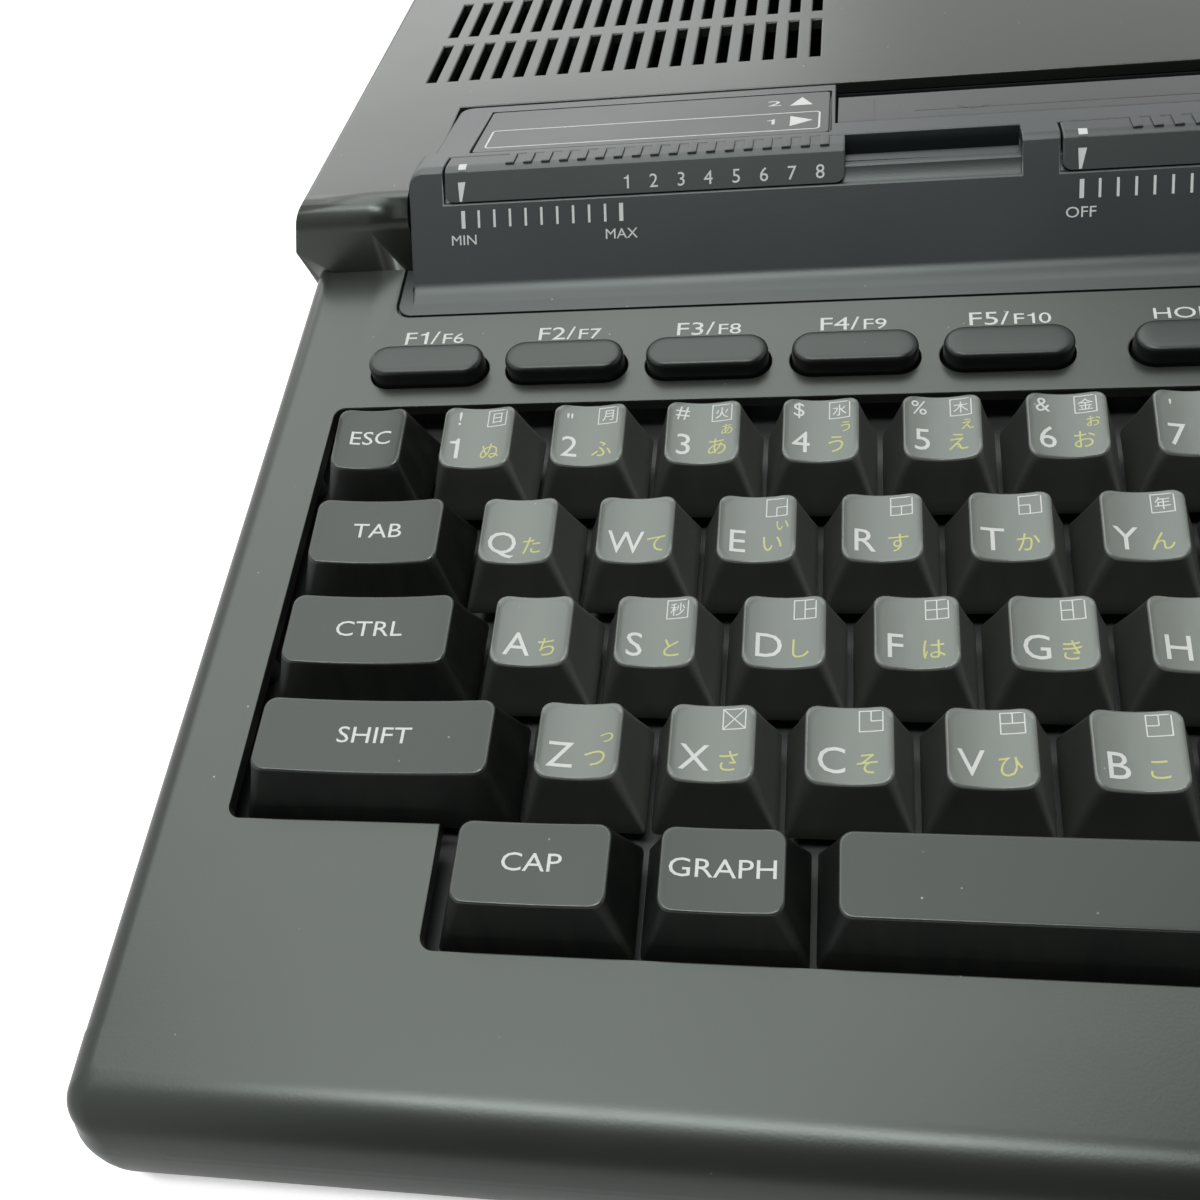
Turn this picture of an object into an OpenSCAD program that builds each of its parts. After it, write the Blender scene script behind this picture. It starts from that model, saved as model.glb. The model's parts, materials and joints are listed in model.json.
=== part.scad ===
// Keyboard computer: a sloped keyboard deck in front of a higher rear block that holds
// the cartridge slots, the boards and the power supply.
// Row axes: +X to the right, +Y to the rear, +Z up. The origin is on the desk, under the
// middle of the case.

/* [Case] */
// How much narrower the keyboard deck is than the rear block, on each side
deck_inset = 2; // [1:0.5:4]
// Height of the deck at its front edge
deck_front_h = 21.2; // [20.5:0.1:23]
// Slope of the deck in degrees
deck_tilt = 12; // [11:0.25:13]
// Radius of the round front edge
front_r = 10.7; // [10:0.1:11]
// Radius of the rolled edges at the sides of the deck
side_r = 4.5; // [3:0.1:5]
// Radius of the front corners seen from above
front_corner_r = 8; // [5:0.5:10]
// Margin between the key field and each side of the deck
side_margin = 14; // [12:0.5:20]
// Distance along the deck from its front edge to the middle of the space bar row
key_front = 29.2; // [28.5:0.1:34]
// Height of the rear block above the deck at its foot
block_rise = 13.9; // [12:0.1:16]
// Depth of the rear block
block_d = 112; // [108:0.5:120]
// Wall thickness of both case shells
wall = 2.2; // [1.8:0.1:2.8]
// Height of the seam between the two shells
seam_z = 12.6; // [11.5:0.1:13.5]
// How far the tray draws in below the seam
tray_taper = 3.5; // [2:0.25:5]
// Thickness of the tray's floor
floor_t = 2.5; // [2:0.1:3]
// Radius of the rear block's upper edges
block_r = 2.5; // [1.5:0.25:4]
// Radius of the rear block's upright corners seen from above
corner_r = 4; // [2:0.5:6]

/* [Feet and screws] */
// Height of the rubber feet
foot_h = 3; // [2:0.25:4]
// Radius of the rubber feet
foot_r = 8; // [6:0.5:10]
// Radius of the screw shanks
screw_r = 1.3; // [1.1:0.05:1.5]
// Radius of the screw heads
screw_head_r = 2.8; // [2.4:0.1:3]
// Thickness of the screw heads
screw_head_h = 2; // [1.5:0.1:2.4]
// Length of the case screws' shanks
screw_len = 12; // [9:0.5:12.5]
// Radius of the screw bosses
boss_r = 4; // [3.8:0.1:4.4]

/* [Keys] */
// Distance from one key to the next
key_pitch = 19; // [18.6:0.1:19.4]
// Gap between the feet of neighbouring keycaps
key_gap = 0.9; // [0.6:0.1:1.2]
// Width of a single key's top
key_top_w = 12.2; // [11:0.1:13]
// Depth of a key's top
key_top_d = 12.3; // [11:0.1:13]
// Depth of a keycap at its foot
key_foot_d = 16.7; // [16:0.1:17.2]
// Reach of the foot in front of the middle of the key's top
key_foot_front = 9.6; // [9.2:0.1:9.9]
// Height of a keycap from its foot to its top
key_h = 10.5; // [9.5:0.1:11.5]
// Height of the key tops above the deck
key_rise = 6.5; // [5.5:0.1:7.5]
// How far a key goes down
key_travel = 3.5; // [2.5:0.1:4]
// Depth of the hollow in a key's top
key_dish = 0.9; // [0.4:0.1:1.2]
// Wall thickness of a keycap
key_wall = 1.3; // [1:0.1:1.6]
// Side of the square stem under each key
stem_s = 4.4; // [4:0.1:4.8]
// Play between a stem and its guide, on each side
stem_play = 0.2; // [0.15:0.05:0.3]
// Gap between the main key field and the cursor keys
cursor_gap = 10; // [8:0.5:14]
// Gap between the keys and the sides of their well
well_side = 1.5; // [1:0.1:2.5]
// Gap between the keys and the front of their well
well_front = 1.1; // [0.8:0.1:2]
// Gap between the number row and the rear of its well
well_rear = 3.5; // [2:0.1:5]

/* [Function buttons] */
// Distance from one function button to the next
fkey_pitch = 25.4; // [24:0.1:26]
// Distance of the function buttons behind the number row
fkey_back = 21.5; // [20:0.1:23]
// Extra gap between the function and the editing buttons
fkey_split = 5.25; // [3:0.25:8]
// Length of a function button
fkey_w = 21.4; // [19:0.1:22]
// Depth of a function button
fkey_d = 7.2; // [6.6:0.1:8]
// Height of the function buttons above the deck
fkey_rise = 3.5; // [2.8:0.1:4]
// How far a function button goes down
fkey_travel = 2.5; // [1.5:0.1:3]
// Gap round a function button
fkey_gap = 0.4; // [0.3:0.05:0.6]

/* [Control panel] */
// Distance from the function buttons to the rear block's face
panel_zone = 26.7; // [25:0.1:30]
// Distance from each side of the rear block to the panel's ridge
panel_margin = 24.2; // [20:0.1:30]
// Step from the ridge's ends in to the sides of the panel's rear part
panel_step = 3; // [2:0.25:5]
// How far the ridge stands in front of the rear block
ridge_front = 7.3; // [6:0.1:9]
// Depth of the panel behind the rear block's face
panel_d = 39.2; // [37:0.1:42]
// Slope of the ridge's face in degrees
face_angle = 55; // [52:0.5:58]
// Height of the ridge's crest above the rear block
crest_rise = 3.3; // [3:0.1:4]
// Wall thickness of the panel
panel_wall = 2; // [1.6:0.1:2.4]
// Depth of the panel's flange on the deck, in front of the ridge
flange_d = 5; // [3:0.25:7]
// Thickness of the flange
flange_t = 1.1; // [0.8:0.1:1.3]

/* [Sliders] */
// Length of a slider
slider_w = 73.8; // [65:0.1:80]
// How far a slider moves
slider_travel = 30; // [20:0.5:34]
// Distance from the ridge's end to the first slider
slider_margin = 7.1; // [5:0.1:10]
// Width of the bridge between the two tracks
slider_bridge = 6.5; // [5:0.1:9]
// Running gap round a slider
slider_gap = 0.3; // [0.25:0.05:0.5]
// Height of the slider's lower edge below the crest
slider_drop = 5.2; // [4.6:0.1:5.6]
// Height of the track's rail above the slider's lower edge
rail_h = 2.3; // [1.8:0.1:2.4]
// Width of the tongue that reaches down into the slide potentiometer
tongue_w = 12; // [8:0.5:16]

/* [Cartridge slots] */
// Length of a cartridge slot
slot_w = 114; // [110:0.5:118]
// Distance from the end of the label plate to the slot
slot_from_label = 1.1; // [0.8:0.1:3]
// Thickness of the flap
flap_t = 1.6; // [1.2:0.1:2]
// Depth of the flap
flap_d = 14.6; // [12:0.1:15.5]
// Radius of the flap's hinge pins
flap_pin_r = 1; // [0.8:0.05:1.2]
// Height of the rear slot's mouth
rear_slot_h = 20; // [18:0.5:21]
// Distance from the rear slot to the right side of the rear block
rear_slot_margin = 22; // [20:0.5:30]

/* [Label plate] */
// Length of the label plate
label_w = 67.2; // [60:0.1:68]
// Depth of the label plate
label_d = 21.5; // [19:0.1:22]
// Thickness of the label plate
label_t = 0.8; // [0.6:0.1:1]

/* [Vents] */
// Number of vent slots in a row
vent_n = 18; // [8:1:19]
// Distance from one vent slot to the next
vent_pitch = 4.77; // [4.4:0.01:4.9]
// Width of a vent slot
vent_w = 2.1; // [1.6:0.1:2.6]
// Length of a vent slot
vent_len = 18.5; // [16:0.5:19]
// Gap between the two rows of vent slots
vent_gap = 4.6; // [4:0.1:6]
// Distance from the side of the rear block to the first vent slot
vent_margin = 16.6; // [14:0.1:19]

/* [Electronics] */
// Thickness of the circuit boards
pcb_t = 1.6; // [1.2:0.1:2]
// Height of the main board above the tray's floor
board_lift = 5.5; // [5:0.1:6.5]
// Height of the cartridge connectors
conn_h = 14; // [12:0.5:16]
// Length of the cartridge connectors
conn_w = 80; // [70:0.5:90]
// Thickness of the cartridge connectors
conn_t = 10; // [8:0.5:11]
// Side of the transformer in the power supply
transformer_w = 42; // [36:0.5:46]
// Height of the transformer
transformer_h = 36; // [30:0.5:40]
// Width of the power button
power_w = 14; // [10:0.5:16]
// Depth of the power button
power_d = 8; // [6:0.5:9]
// How far the power button goes down
power_travel = 2; // [1.5:0.1:2.5]
// Radius of the reset button
reset_r = 2.5; // [2:0.1:3]
// How far the reset button goes down
reset_travel = 1.2; // [0.8:0.1:1.6]

/* [Hidden] */
$fn = 32;
e = 0.01;          // overshoot of a cut past the face it opens
gap = 0.3;         // play between parts that are laid into each other
far = 400;         // longer than the whole case

// Key field: units of one key pitch, counted from the middle of the "1" key
field_u0 = -1.5;
field_u1 = 13.5;
cursor_u = 3;
rows = 5;
row_rise = [0.2, -0.5, -0.3, 0.6, 0];
deck_w = 2*side_margin + (field_u1 - field_u0 + cursor_u)*key_pitch + cursor_gap;
block_w = deck_w + 2*deck_inset;
key_x0 = -deck_w/2 + side_margin - field_u0*key_pitch;
cursor_x = key_x0 + field_u1*key_pitch + cursor_gap + cursor_u/2*key_pitch;
function key_x(u) = key_x0 + u*key_pitch;
function key_y(row) = key_front + (rows - 1 - row)*key_pitch;
fkey_y = key_y(0) + fkey_back;
fkey_x0 = key_x(-1) + 5.15;
function fkey_x(i) = fkey_x0 + i*fkey_pitch + (i > 4 ? fkey_split : 0);

// Case
deck_run = fkey_y + panel_zone;
case_d = front_r*(1 - sin(deck_tilt)) + deck_run*cos(deck_tilt) + block_d;
y_front = -case_d/2;
y_rear = case_d/2;
y_deck = y_front + front_r*(1 - sin(deck_tilt));
y_block = y_rear - block_d;
deck_rear_h = deck_front_h + deck_run*sin(deck_tilt);
block_h = deck_rear_h + block_rise;
floor_z = foot_h + floor_t;
screw_seat = foot_h + 3.5;        // face that the case screws' heads bear on
draft_h = 9.2;     // height of the drafted upper part of the rear block's sides
draft_in = 2.4;    // how far that part leans in
facet_h = 4.6;     // rise of the facet at the foot of the rear block's face
facet_w = 6.7;     // width of that facet
facet_tilt = 34;   // how far the facet leans back
facet_d = 6;       // depth of the facet

// A point of the deck's own frame (along the deck, above it) as [y, z] of the case
function dk(a, b) = [y_deck + a*cos(deck_tilt) - b*sin(deck_tilt),
                     deck_front_h + a*sin(deck_tilt) + b*cos(deck_tilt)];
function deck_z(y) = deck_front_h + (y - y_deck)*tan(deck_tilt);
function arc(c, r, a0, a1, n = 6) =
    [for (i = [0:n]) let (a = a0 + (a1 - a0)*i/n) [c[0] + r*cos(a), c[1] + r*sin(a)]];

// Middle of the round front edge, and the angle at which its outline of radius r has height z
nose_c = [y_deck + front_r*sin(deck_tilt), deck_front_h - front_r*cos(deck_tilt)];
function nose_a(z, r) = 180 - asin((z - nose_c[1])/r);

// Key mechanism, in the deck's frame
frame_top = key_rise - key_h - key_travel - 0.5;
frame_t = 2.5;
frame_bot = frame_top - frame_t;
tower_h = 4;
tower_s = stem_s + 2*stem_play + 2.4;
stem_end = frame_bot - 1;
board_top = stem_end - max(key_travel, fkey_travel) - 0.5;
mat_t = 1;
dome_r0 = 6;
dome_r1 = 4.6;
dome_top = frame_bot - gap;
frame_y0 = key_front - key_pitch/2 - 2.5;
frame_y1 = fkey_y + 8;
frame_x0 = key_x(field_u0) - 9;
frame_x1 = cursor_x + cursor_u/2*key_pitch + 9;
key_foot_w = key_pitch - key_gap;
side_slope = (key_foot_w - key_top_w)/2;

// Columns of the right-hand groups: [column, row]
number_cols = [for (u = [6:13]) [u, 0]];
letter_cols = concat([for (u = [6.5:1:11.5]) [u, 1]], [for (u = [5.75:1:11.75]) [u, 2]],
                     [for (u = [6.25:1:11.25]) [u, 3]]);
left_cols = concat([for (u = [0:5]) [u, 0]], [for (u = [0.5:1:5.5]) [u, 1]],
                   [for (u = [0.75:1:4.75]) [u, 2]], [for (u = [1.25:1:5.25]) [u, 3]]);
wide_cols = [[-1, 0], [-0.75, 1], [-0.625, 2], [-0.375, 3], [1, 4], [2.375, 4],
             [4.2, 4], [7, 4], [9.8, 4], [12.625, 3], [11.75, 4], [12.875, 1.5]];
cursor_at = [[0, 2], [-0.75, 3], [0.75, 3], [0, 4]];   // [units from the cluster's middle, row]

// Control panel, as [y, z] of the case
panel_w = block_w - 2*panel_margin;
tray_w = panel_w - 2*panel_step;
panel_y0 = y_block - ridge_front;
panel_y1 = y_block + panel_d;
panel_z0 = deck_z(panel_y0);
cheek_d = panel_y0 + (block_h - panel_z0)/tan(face_angle) - y_block + 1;   // depth of the
                                  // ridge's ends behind the block's face
flange_side = 2.6;                // reach of the flange past the ridge's ends
flange_r = 3;                     // radius of the flange's corners
crest_z = block_h + crest_rise;
crest_r = 3;
face_len = (crest_z - crest_r*(1 - cos(face_angle)) - panel_z0)/sin(face_angle);
face_top = [panel_y0 + face_len*cos(face_angle), panel_z0 + face_len*sin(face_angle)];
crest_c = [face_top[0] + crest_r*sin(face_angle), crest_z - crest_r];
tray_y = y_block + 14.2;          // rear edge of the ridge
tray_z = block_h + 2.6;           // height of the tray part at the ridge
tray_fall = atan((tray_z - block_h)/(panel_y1 - tray_y));
tray_len = (panel_y1 - tray_y)/cos(tray_fall);

// Sliders: the track's own section, as [y, z] of the case
lip_z = crest_z - slider_drop;
lip_y = panel_y0 + (lip_z - panel_z0)/tan(face_angle);
rail_z = lip_z + rail_h;
rail_y0 = lip_y + 1.1;
rail_y1 = lip_y + 6.7;
track_y1 = lip_y + 9.5;
track_x = [-panel_w/2 + slider_margin - slider_gap,
           -panel_w/2 + slider_margin + slider_w + slider_travel + slider_gap + slider_bridge];
track_w = slider_w + slider_travel + 2*slider_gap;
trough_z = lip_z - 4;             // underside of the track's trough
pot_h = 9;

// Label plate and cartridge slots
label_x0 = -tray_w/2 + 7.7;
label_y = -0.7;                   // front edge of the label plate, in the tray's frame
slot_x0 = label_x0 + label_w + slot_from_label;
slot_y0 = tray_y + 3.2;
slot_y1 = panel_y1;
slot_wall = 1.8;
slot_mid = (slot_y0 + slot_y1)/2;
slot_guide = 20;                  // depth of the cartridge guide below the panel
flap_z = -0.4;                    // top of the flap, in the tray's frame
flap_barrel_r = flap_pin_r + 0.2;
flap_y = slot_y0 - tray_y + gap + flap_barrel_r;   // hinge axis, in the tray's frame
flap_axis_z = -label_t - flap_barrel_r;
rear_slot_x0 = block_w/2 - rear_slot_margin - slot_w;
rear_slot_z = floor_z + board_lift + pcb_t + 8;

// Boards and sockets
chip_row = 13;     // distance of the first row of chips from the board's front edge
socket_depth = 12; // reach of the sockets over the main board
board_z = floor_z + board_lift;
board_x0 = slot_x0 + 2;
board_margin = 20; // distance from the main board to the case's right side
board_reach = 28;  // reach of the main board under the deck
board_x1 = block_w/2 - board_margin;
board_y0 = y_block - board_reach;
board_y1 = y_rear - wall - 5;
psu_x0 = -block_w/2 + 15;
psu_x1 = psu_x0 + 83;
psu_y0 = y_rear - 64;
psu_y1 = y_rear - 8;
psu_z = floor_z + 4;
case_screws = [[-deck_w/2 + 40, y_deck + 9], [0, y_deck + 9], [deck_w/2 - 40, y_deck + 9],
               [-deck_w/2 + 7, y_block - 6], [deck_w/2 - 7, y_block - 6],
               [-block_w/2 + 8, y_rear - 11], [block_w/2 - 8, y_rear - 11]];
board_screws = [for (x = [board_x0 + 5, board_x1 - 5]) for (y = [board_y0 + 5, board_y1 - 5])
                [x, y]];
psu_screws = [for (x = [psu_x0 + 5, psu_x1 - 5]) for (y = [psu_y0 + 5, psu_y1 - 5]) [x, y]];
frame_posts = [for (x = [frame_x0 + 3.2, frame_x1 - 3.2])
               for (y = [key_y(4), key_y(2), key_y(0)]) [x, y]];
feet = [for (x = [-deck_w/2 + 22, 0, deck_w/2 - 22])
        for (y = [y_front + tray_taper + 20, y_rear - tray_taper - 16]) [x, y]];
power_x = panel_w/2 - 28;
reset_x = power_x - 30;
button_y = tray_y + 11;
button_z = tray_z - (button_y - tray_y)*tan(tray_fall);   // panel surface at the buttons
joy_y = [y_block + 32, y_block + 66];
din_r = 7.5;
rca_r = 4.2;
printer_x = slot_x0 + 34;
din_x = [printer_x + 42, printer_x + 64];
rca_x = [printer_x + 82, printer_x + 95];
socket_z = board_z + pcb_t + 8.5;
inlet_x = psu_x0 + 20;
inlet_z = psu_z + 16;
dsub_w = 17;
dsub_h = 8.6;

// Extrudes an outline of [y, z] points from x0 to x1
module along_x(x0, x1) {
    translate([x0, 0, 0]) rotate([90, 0, 90]) linear_extrude(x1 - x0) children();
}

// Extrudes an outline of [x, z] points from y0 to y1
module along_y(y0, y1) {
    translate([0, y1, 0]) rotate([90, 0, 0]) linear_extrude(y1 - y0) children();
}

// Places things in the deck's frame: y along the deck, z above it
module on_deck() {
    translate([0, y_deck, deck_front_h]) rotate([deck_tilt, 0, 0]) children();
}

// Places things in the frame of the panel's tray part: z above its top face
module on_tray() {
    translate([0, tray_y, tray_z]) rotate([-tray_fall, 0, 0]) children();
}

// A box from its lowest to its highest corner
module block(a, b) {
    translate(a) cube([b[0] - a[0], b[1] - a[1], b[2] - a[2]]);
}

// An upright prism with rounded corners, from its lowest to its highest corner
module soft_block(a, b, r) {
    block([a[0] + r, a[1], a[2]], [b[0] - r, b[1], b[2]]);
    block([a[0], a[1] + r, a[2]], [b[0], b[1] - r, b[2]]);
    for (x = [a[0] + r, b[0] - r]) for (y = [a[1] + r, b[1] - r])
        translate([x, y, a[2]]) cylinder(r = r, h = b[2] - a[2]);
}

// A long prism with round ends, centred on the origin
module stadium(w, d, h) {
    block([-(w - d)/2, -d/2, 0], [(w - d)/2, d/2, h]);
    for (s = [-1, 1]) translate([s*(w - d)/2, 0, 0]) cylinder(d = d, h = h);
}

// ---------- Case ----------

// The keyboard wedge from the seam up, drawn in by i on every outer side
module deck_solid(i, low) {
    half = deck_w/2 - i;
    r = front_r - i;
    rs = max(side_r - i, 0.4);
    end = dk(deck_run + 20, -i);
    intersection() {
        along_x(-half, half)
            polygon(concat(arc(nose_c, r, nose_a(low, r), 90 + deck_tilt, 14),
                           [end, [end[0], low]]));
        block([-half, y_front, low], [half, y_block + facet_d + wall + e, far]);
        soft_block([-half, y_front + i, low], [half, y_rear, far], front_corner_r - i);
        on_deck() along_y(-far, far)
            polygon(concat([[-half, -far]], arc([-half + rs, -i - rs], rs, 180, 90),
                           arc([half - rs, -i - rs], rs, 90, 0), [[half, -far]]));
    }
}

// The rear block from the given height up, drawn in by i on every outer side
module block_solid(i, low) {
    half = block_w/2 - i;
    top = block_h - i;
    r = max(block_r - i, 0.4);
    knee = block_h - draft_h;
    difference() {
        intersection() {
            along_x(-half, half)
                polygon(concat([[y_block + i, low]],
                               arc([y_block + block_r, block_h - block_r], r, 180, 90),
                               arc([y_rear - block_r, block_h - block_r], r, 90, 0),
                               [[y_rear - i, low]]));
            along_y(y_block + i, y_rear - i)
                polygon(concat([[-half, low], [-half, knee]],
                               arc([-half + draft_in + r, top - r], r, 165, 90),
                               arc([half - draft_in - r, top - r], r, 90, 15),
                               [[half, knee], [half, low]]));
        }
        for (s = [0, 1]) mirror([s, 0, 0]) facet_cut(i);
    }
}

// Cuts the facet at the left foot of the block's face, and the space under it
module facet_cut(i) {
    intersection() {
        translate([-block_w/2, y_block, block_h - draft_h]) rotate([0, atan(facet_h/facet_w), 0])
            rotate([facet_tilt, 0, 0]) translate([-100, -60 + i, -100]) cube([200, 60, 200]);
        block([-block_w/2 - 1, y_block - 1, 0], [0, y_block + facet_d + i, block_h]);
    }
}

// The tray's outer form below the seam, drawn in by i, with its floor at the given height
module tray_solid(i, low) {
    t = tray_taper;
    r = front_r - i;
    intersection() {
        along_x(-block_w/2, block_w/2)
            polygon(concat(arc(nose_c, r, nose_a(seam_z, r), nose_a(low, r), 10),
                           [[y_rear - t - i, low], [y_rear - i, seam_z]]));
        union() {
            intersection() {
                along_y(y_front, y_block + facet_d + i + e)
                    polygon([[-deck_w/2 + i, seam_z], [-deck_w/2 + t + i, low],
                             [deck_w/2 - t - i, low], [deck_w/2 - i, seam_z]]);
                soft_block([-deck_w/2 + i, y_front, low], [deck_w/2 - i, y_rear, seam_z],
                           front_corner_r - i);
            }
            along_y(y_block + facet_d + i, y_rear)
                polygon([[-block_w/2 + i, seam_z], [-block_w/2 + t + i, low],
                         [block_w/2 - t - i, low], [block_w/2 - i, seam_z]]);
        }
        soft_block([-block_w/2, y_front, low], [block_w/2, y_rear, seam_z], corner_r);
    }
}

module lower_case() color("#2b2c2d") difference() {
    union() {
        difference() {
            tray_solid(0, foot_h);
            tray_solid(wall, floor_z);
        }
        for (p = case_screws)
            translate([p[0], p[1], floor_z - e]) cylinder(r = boss_r, h = seam_z - floor_z + e);
        for (p = board_screws)
            translate([p[0], p[1], floor_z - e]) cylinder(r = 3, h = board_z - floor_z + e);
        for (p = psu_screws)
            translate([p[0], p[1], floor_z - e]) cylinder(r = 3, h = psu_z - floor_z + e);
    }
    for (p = case_screws) translate([p[0], p[1], 0]) {
        cylinder(r = screw_r + 0.3, h = far);
        cylinder(r = screw_head_r + 0.3, h = screw_seat);
    }
    for (p = board_screws)
        translate([p[0], p[1], floor_z - 1]) cylinder(r = screw_r + 0.05, h = far);
    for (p = psu_screws)
        translate([p[0], p[1], floor_z - 1]) cylinder(r = screw_r + 0.05, h = far);
}

// The well in the deck for the keys, as solids in the deck's frame
module key_wells(low, high) {
    half = key_pitch/2;
    x0 = key_x(field_u0) - well_side;
    x1 = key_x(field_u1) + well_side;
    soft_block([x0, key_y(3) - half - well_front, low], [x1, key_y(0) + half + well_rear, high], 2);
    soft_block([key_x(0.25) - well_side, key_y(4) - half - well_front, low],
               [key_x(12.5) + well_side, key_y(2), high], 2);
    c1 = 0.75*key_pitch + well_side;
    c2 = 1.5*key_pitch + well_side;
    soft_block([cursor_x - c1, key_y(4) - half - well_front, low],
               [cursor_x + c1, key_y(2) + half + well_front, high], 2);
    soft_block([cursor_x - c2, key_y(3) - half - well_front, low],
               [cursor_x + c2, key_y(3) + half + well_front, high], 2);
}

module upper_case() color("#3a3c3c") difference() {
    union() {
        difference() {
            union() {
                deck_solid(0, seam_z);
                block_solid(0, seam_z);
            }
            deck_solid(wall, seam_z - 1);
            block_solid(wall, seam_z - 1);
        }
        // ledges that carry the panel's rear rim
        for (x = [[-tray_w/2 - 3, label_x0 + label_w - 4], [slot_x0 + slot_w + 6, tray_w/2 + 3]])
            block([x[0], panel_y1 - 3, block_h - 2*wall], [x[1], panel_y1 + 2, block_h - wall + e]);
        case_bosses();
        on_deck() for (p = frame_posts)
            translate([p[0], p[1], frame_top]) cylinder(r = 3, h = -wall - frame_top + e);
    }
    on_deck() {
        key_wells(-wall - 3, 10);
        for (i = [0:9]) translate([fkey_x(i), fkey_y, -10])
            stadium(fkey_w + 2*fkey_gap, fkey_d + 2*fkey_gap, 20);
    }
    panel_cut();
    vents();
    for (p = case_screws)
        translate([p[0], p[1], seam_z - 1])
            cylinder(r = screw_r + 0.05, h = screw_seat + screw_len + 2 - seam_z);
    rear_cuts();
    side_cuts();
}

// Screw pillars from the seam up to the deck or the rear block's top
module case_bosses() {
    for (p = case_screws) intersection() {
        translate([p[0], p[1], seam_z]) cylinder(r = boss_r, h = far);
        union() {
            deck_solid(wall/2, seam_z);
            block_solid(wall/2, seam_z);
        }
    }
}

// Everything of the case that the control panel takes the place of
module panel_cut() {
    block([-tray_w/2 - gap, y_block - 1, block_h - 30], [tray_w/2 + gap, panel_y1 - 3, far]);
    block([-tray_w/2 - gap, y_block - 1, block_h - wall], [tray_w/2 + gap, panel_y1 + gap, far]);
    a = (panel_y0 - y_deck)/cos(deck_tilt);
    on_deck() block([-tray_w/2, a + 1, -wall - 2], [tray_w/2, deck_run + 4, 3]);
    intersection() {
        on_deck() soft_block([-panel_w/2 - flange_side - gap, a - flange_d - gap, -flange_t],
                             [panel_w/2 + flange_side + gap, deck_run + 9, 3], flange_r + gap);
        block([-far, -far, 0], [far, y_block, far]);
    }
    // room for the ridge's ends in the block's face
    intersection() {
        on_deck() block([-panel_w/2 - gap, a, -flange_t], [panel_w/2 + gap, deck_run + 20, far]);
        block([-far, -far, 0], [far, y_block + cheek_d + gap, far]);
    }
    block([slot_x0 - slot_wall - gap, slot_mid, block_h - wall - slot_guide - 8],
          [slot_x0 + slot_w + slot_wall + gap, slot_y1 + slot_wall + gap, block_h - wall]);
}

module vents() {
    x0 = -block_w/2 + vent_margin;
    y0 = y_rear - 59.5;
    for (i = [0:vent_n - 1]) for (j = [0, 1])
        block([x0 + i*vent_pitch, y0 + j*(vent_len + vent_gap), block_h - wall - 2],
              [x0 + i*vent_pitch + vent_w, y0 + j*(vent_len + vent_gap) + vent_len, block_h + 1]);
}

// Openings in the rear wall
module rear_cuts() {
    y0 = y_rear - wall - 1;
    y1 = y_rear + 1;
    block([rear_slot_x0, y0, rear_slot_z], [rear_slot_x0 + slot_w, y1, rear_slot_z + rear_slot_h]);
    block([printer_x - 21, y0, socket_z - 6], [printer_x + 21, y1, socket_z + 6]);
    for (x = din_x) translate([x, y1, socket_z]) rotate([90, 0, 0]) cylinder(r = din_r + gap, h = 8);
    for (x = rca_x) translate([x, y1, socket_z]) rotate([90, 0, 0]) cylinder(r = rca_r + gap, h = 8);
    block([inlet_x - 11 - gap, y0, inlet_z - 7 - gap], [inlet_x + 11 + gap, y1, inlet_z + 7 + gap]);
}

// Openings for the joystick ports in the right side wall
module side_cuts() {
    for (y = joy_y)
        block([block_w/2 - 6, y - dsub_w/2 - gap, socket_z + 6 - dsub_h/2 - gap],
              [block_w/2 + 1, y + dsub_w/2 + gap, socket_z + 6 + dsub_h/2 + gap]);
}

module rubber_feet() color("#161616")
    for (p = feet) translate([p[0], p[1], 0]) cylinder(r = foot_r, h = foot_h);

// A screw whose head rests under the given height
module screw(len) {
    translate([0, 0, -screw_head_h]) cylinder(r = screw_head_r, h = screw_head_h);
    cylinder(r = screw_r, h = len);
}

module screws() color("#9a9a98") {
    for (p = case_screws) translate([p[0], p[1], screw_seat]) screw(screw_len);
    for (p = board_screws) translate([p[0], p[1], board_z + pcb_t]) mirror([0, 0, 1])
        screw(pcb_t + board_lift - 1);
    for (p = psu_screws) translate([p[0], p[1], psu_z + pcb_t]) mirror([0, 0, 1])
        screw(pcb_t + psu_z - floor_z - 1);
}

// ---------- Control panel ----------

// The ridge's section: face, crest and back, down to the given height
module ridge_outline(low) {
    polygon(concat([[panel_y0, low], [panel_y0, panel_z0]],
                   arc(crest_c, crest_r, 90 + face_angle, 90 - tray_fall),
                   [[tray_y, tray_z], [tray_y, low]]));
}

// The tray part's section behind the ridge
module tray_outline() {
    low = block_h - wall;
    polygon([[tray_y - 3, tray_z], [tray_y, tray_z], [panel_y1, block_h], [panel_y1, low],
             [tray_y - 3, low]]);
}

module control_panel() color("#33363a") difference() {
    union() {
        difference() {
            ridge_shell();
            ridge_inside();
        }
        difference() {
            along_x(-tray_w/2, tray_w/2) tray_outline();
            along_x(-tray_w/2 + panel_wall, tray_w/2 - panel_wall)
                translate([0, -e]) polygon([[tray_y - 4, 0], [tray_y - 4, tray_z - panel_wall],
                    [panel_y1 - panel_wall, block_h - panel_wall + 0.2], [panel_y1 - panel_wall, 0]]);
        }
        troughs();
        label_bed();
        slot_frame();
        button_guides();
        flange();
    }
    slider_tracks();
    on_tray() block([label_x0 - gap, label_y - gap, -label_t],
                    [label_x0 + label_w + gap, label_y + label_d + gap, 5]);
    slot_cut();
    translate([power_x, button_y, 0]) block([-power_w/2 - gap, -power_d/2 - gap, block_h - 20],
                                           [power_w/2 + gap, power_d/2 + gap, far]);
    translate([reset_x, button_y, block_h - 20]) cylinder(r = reset_r + gap, h = far);
}

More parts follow.
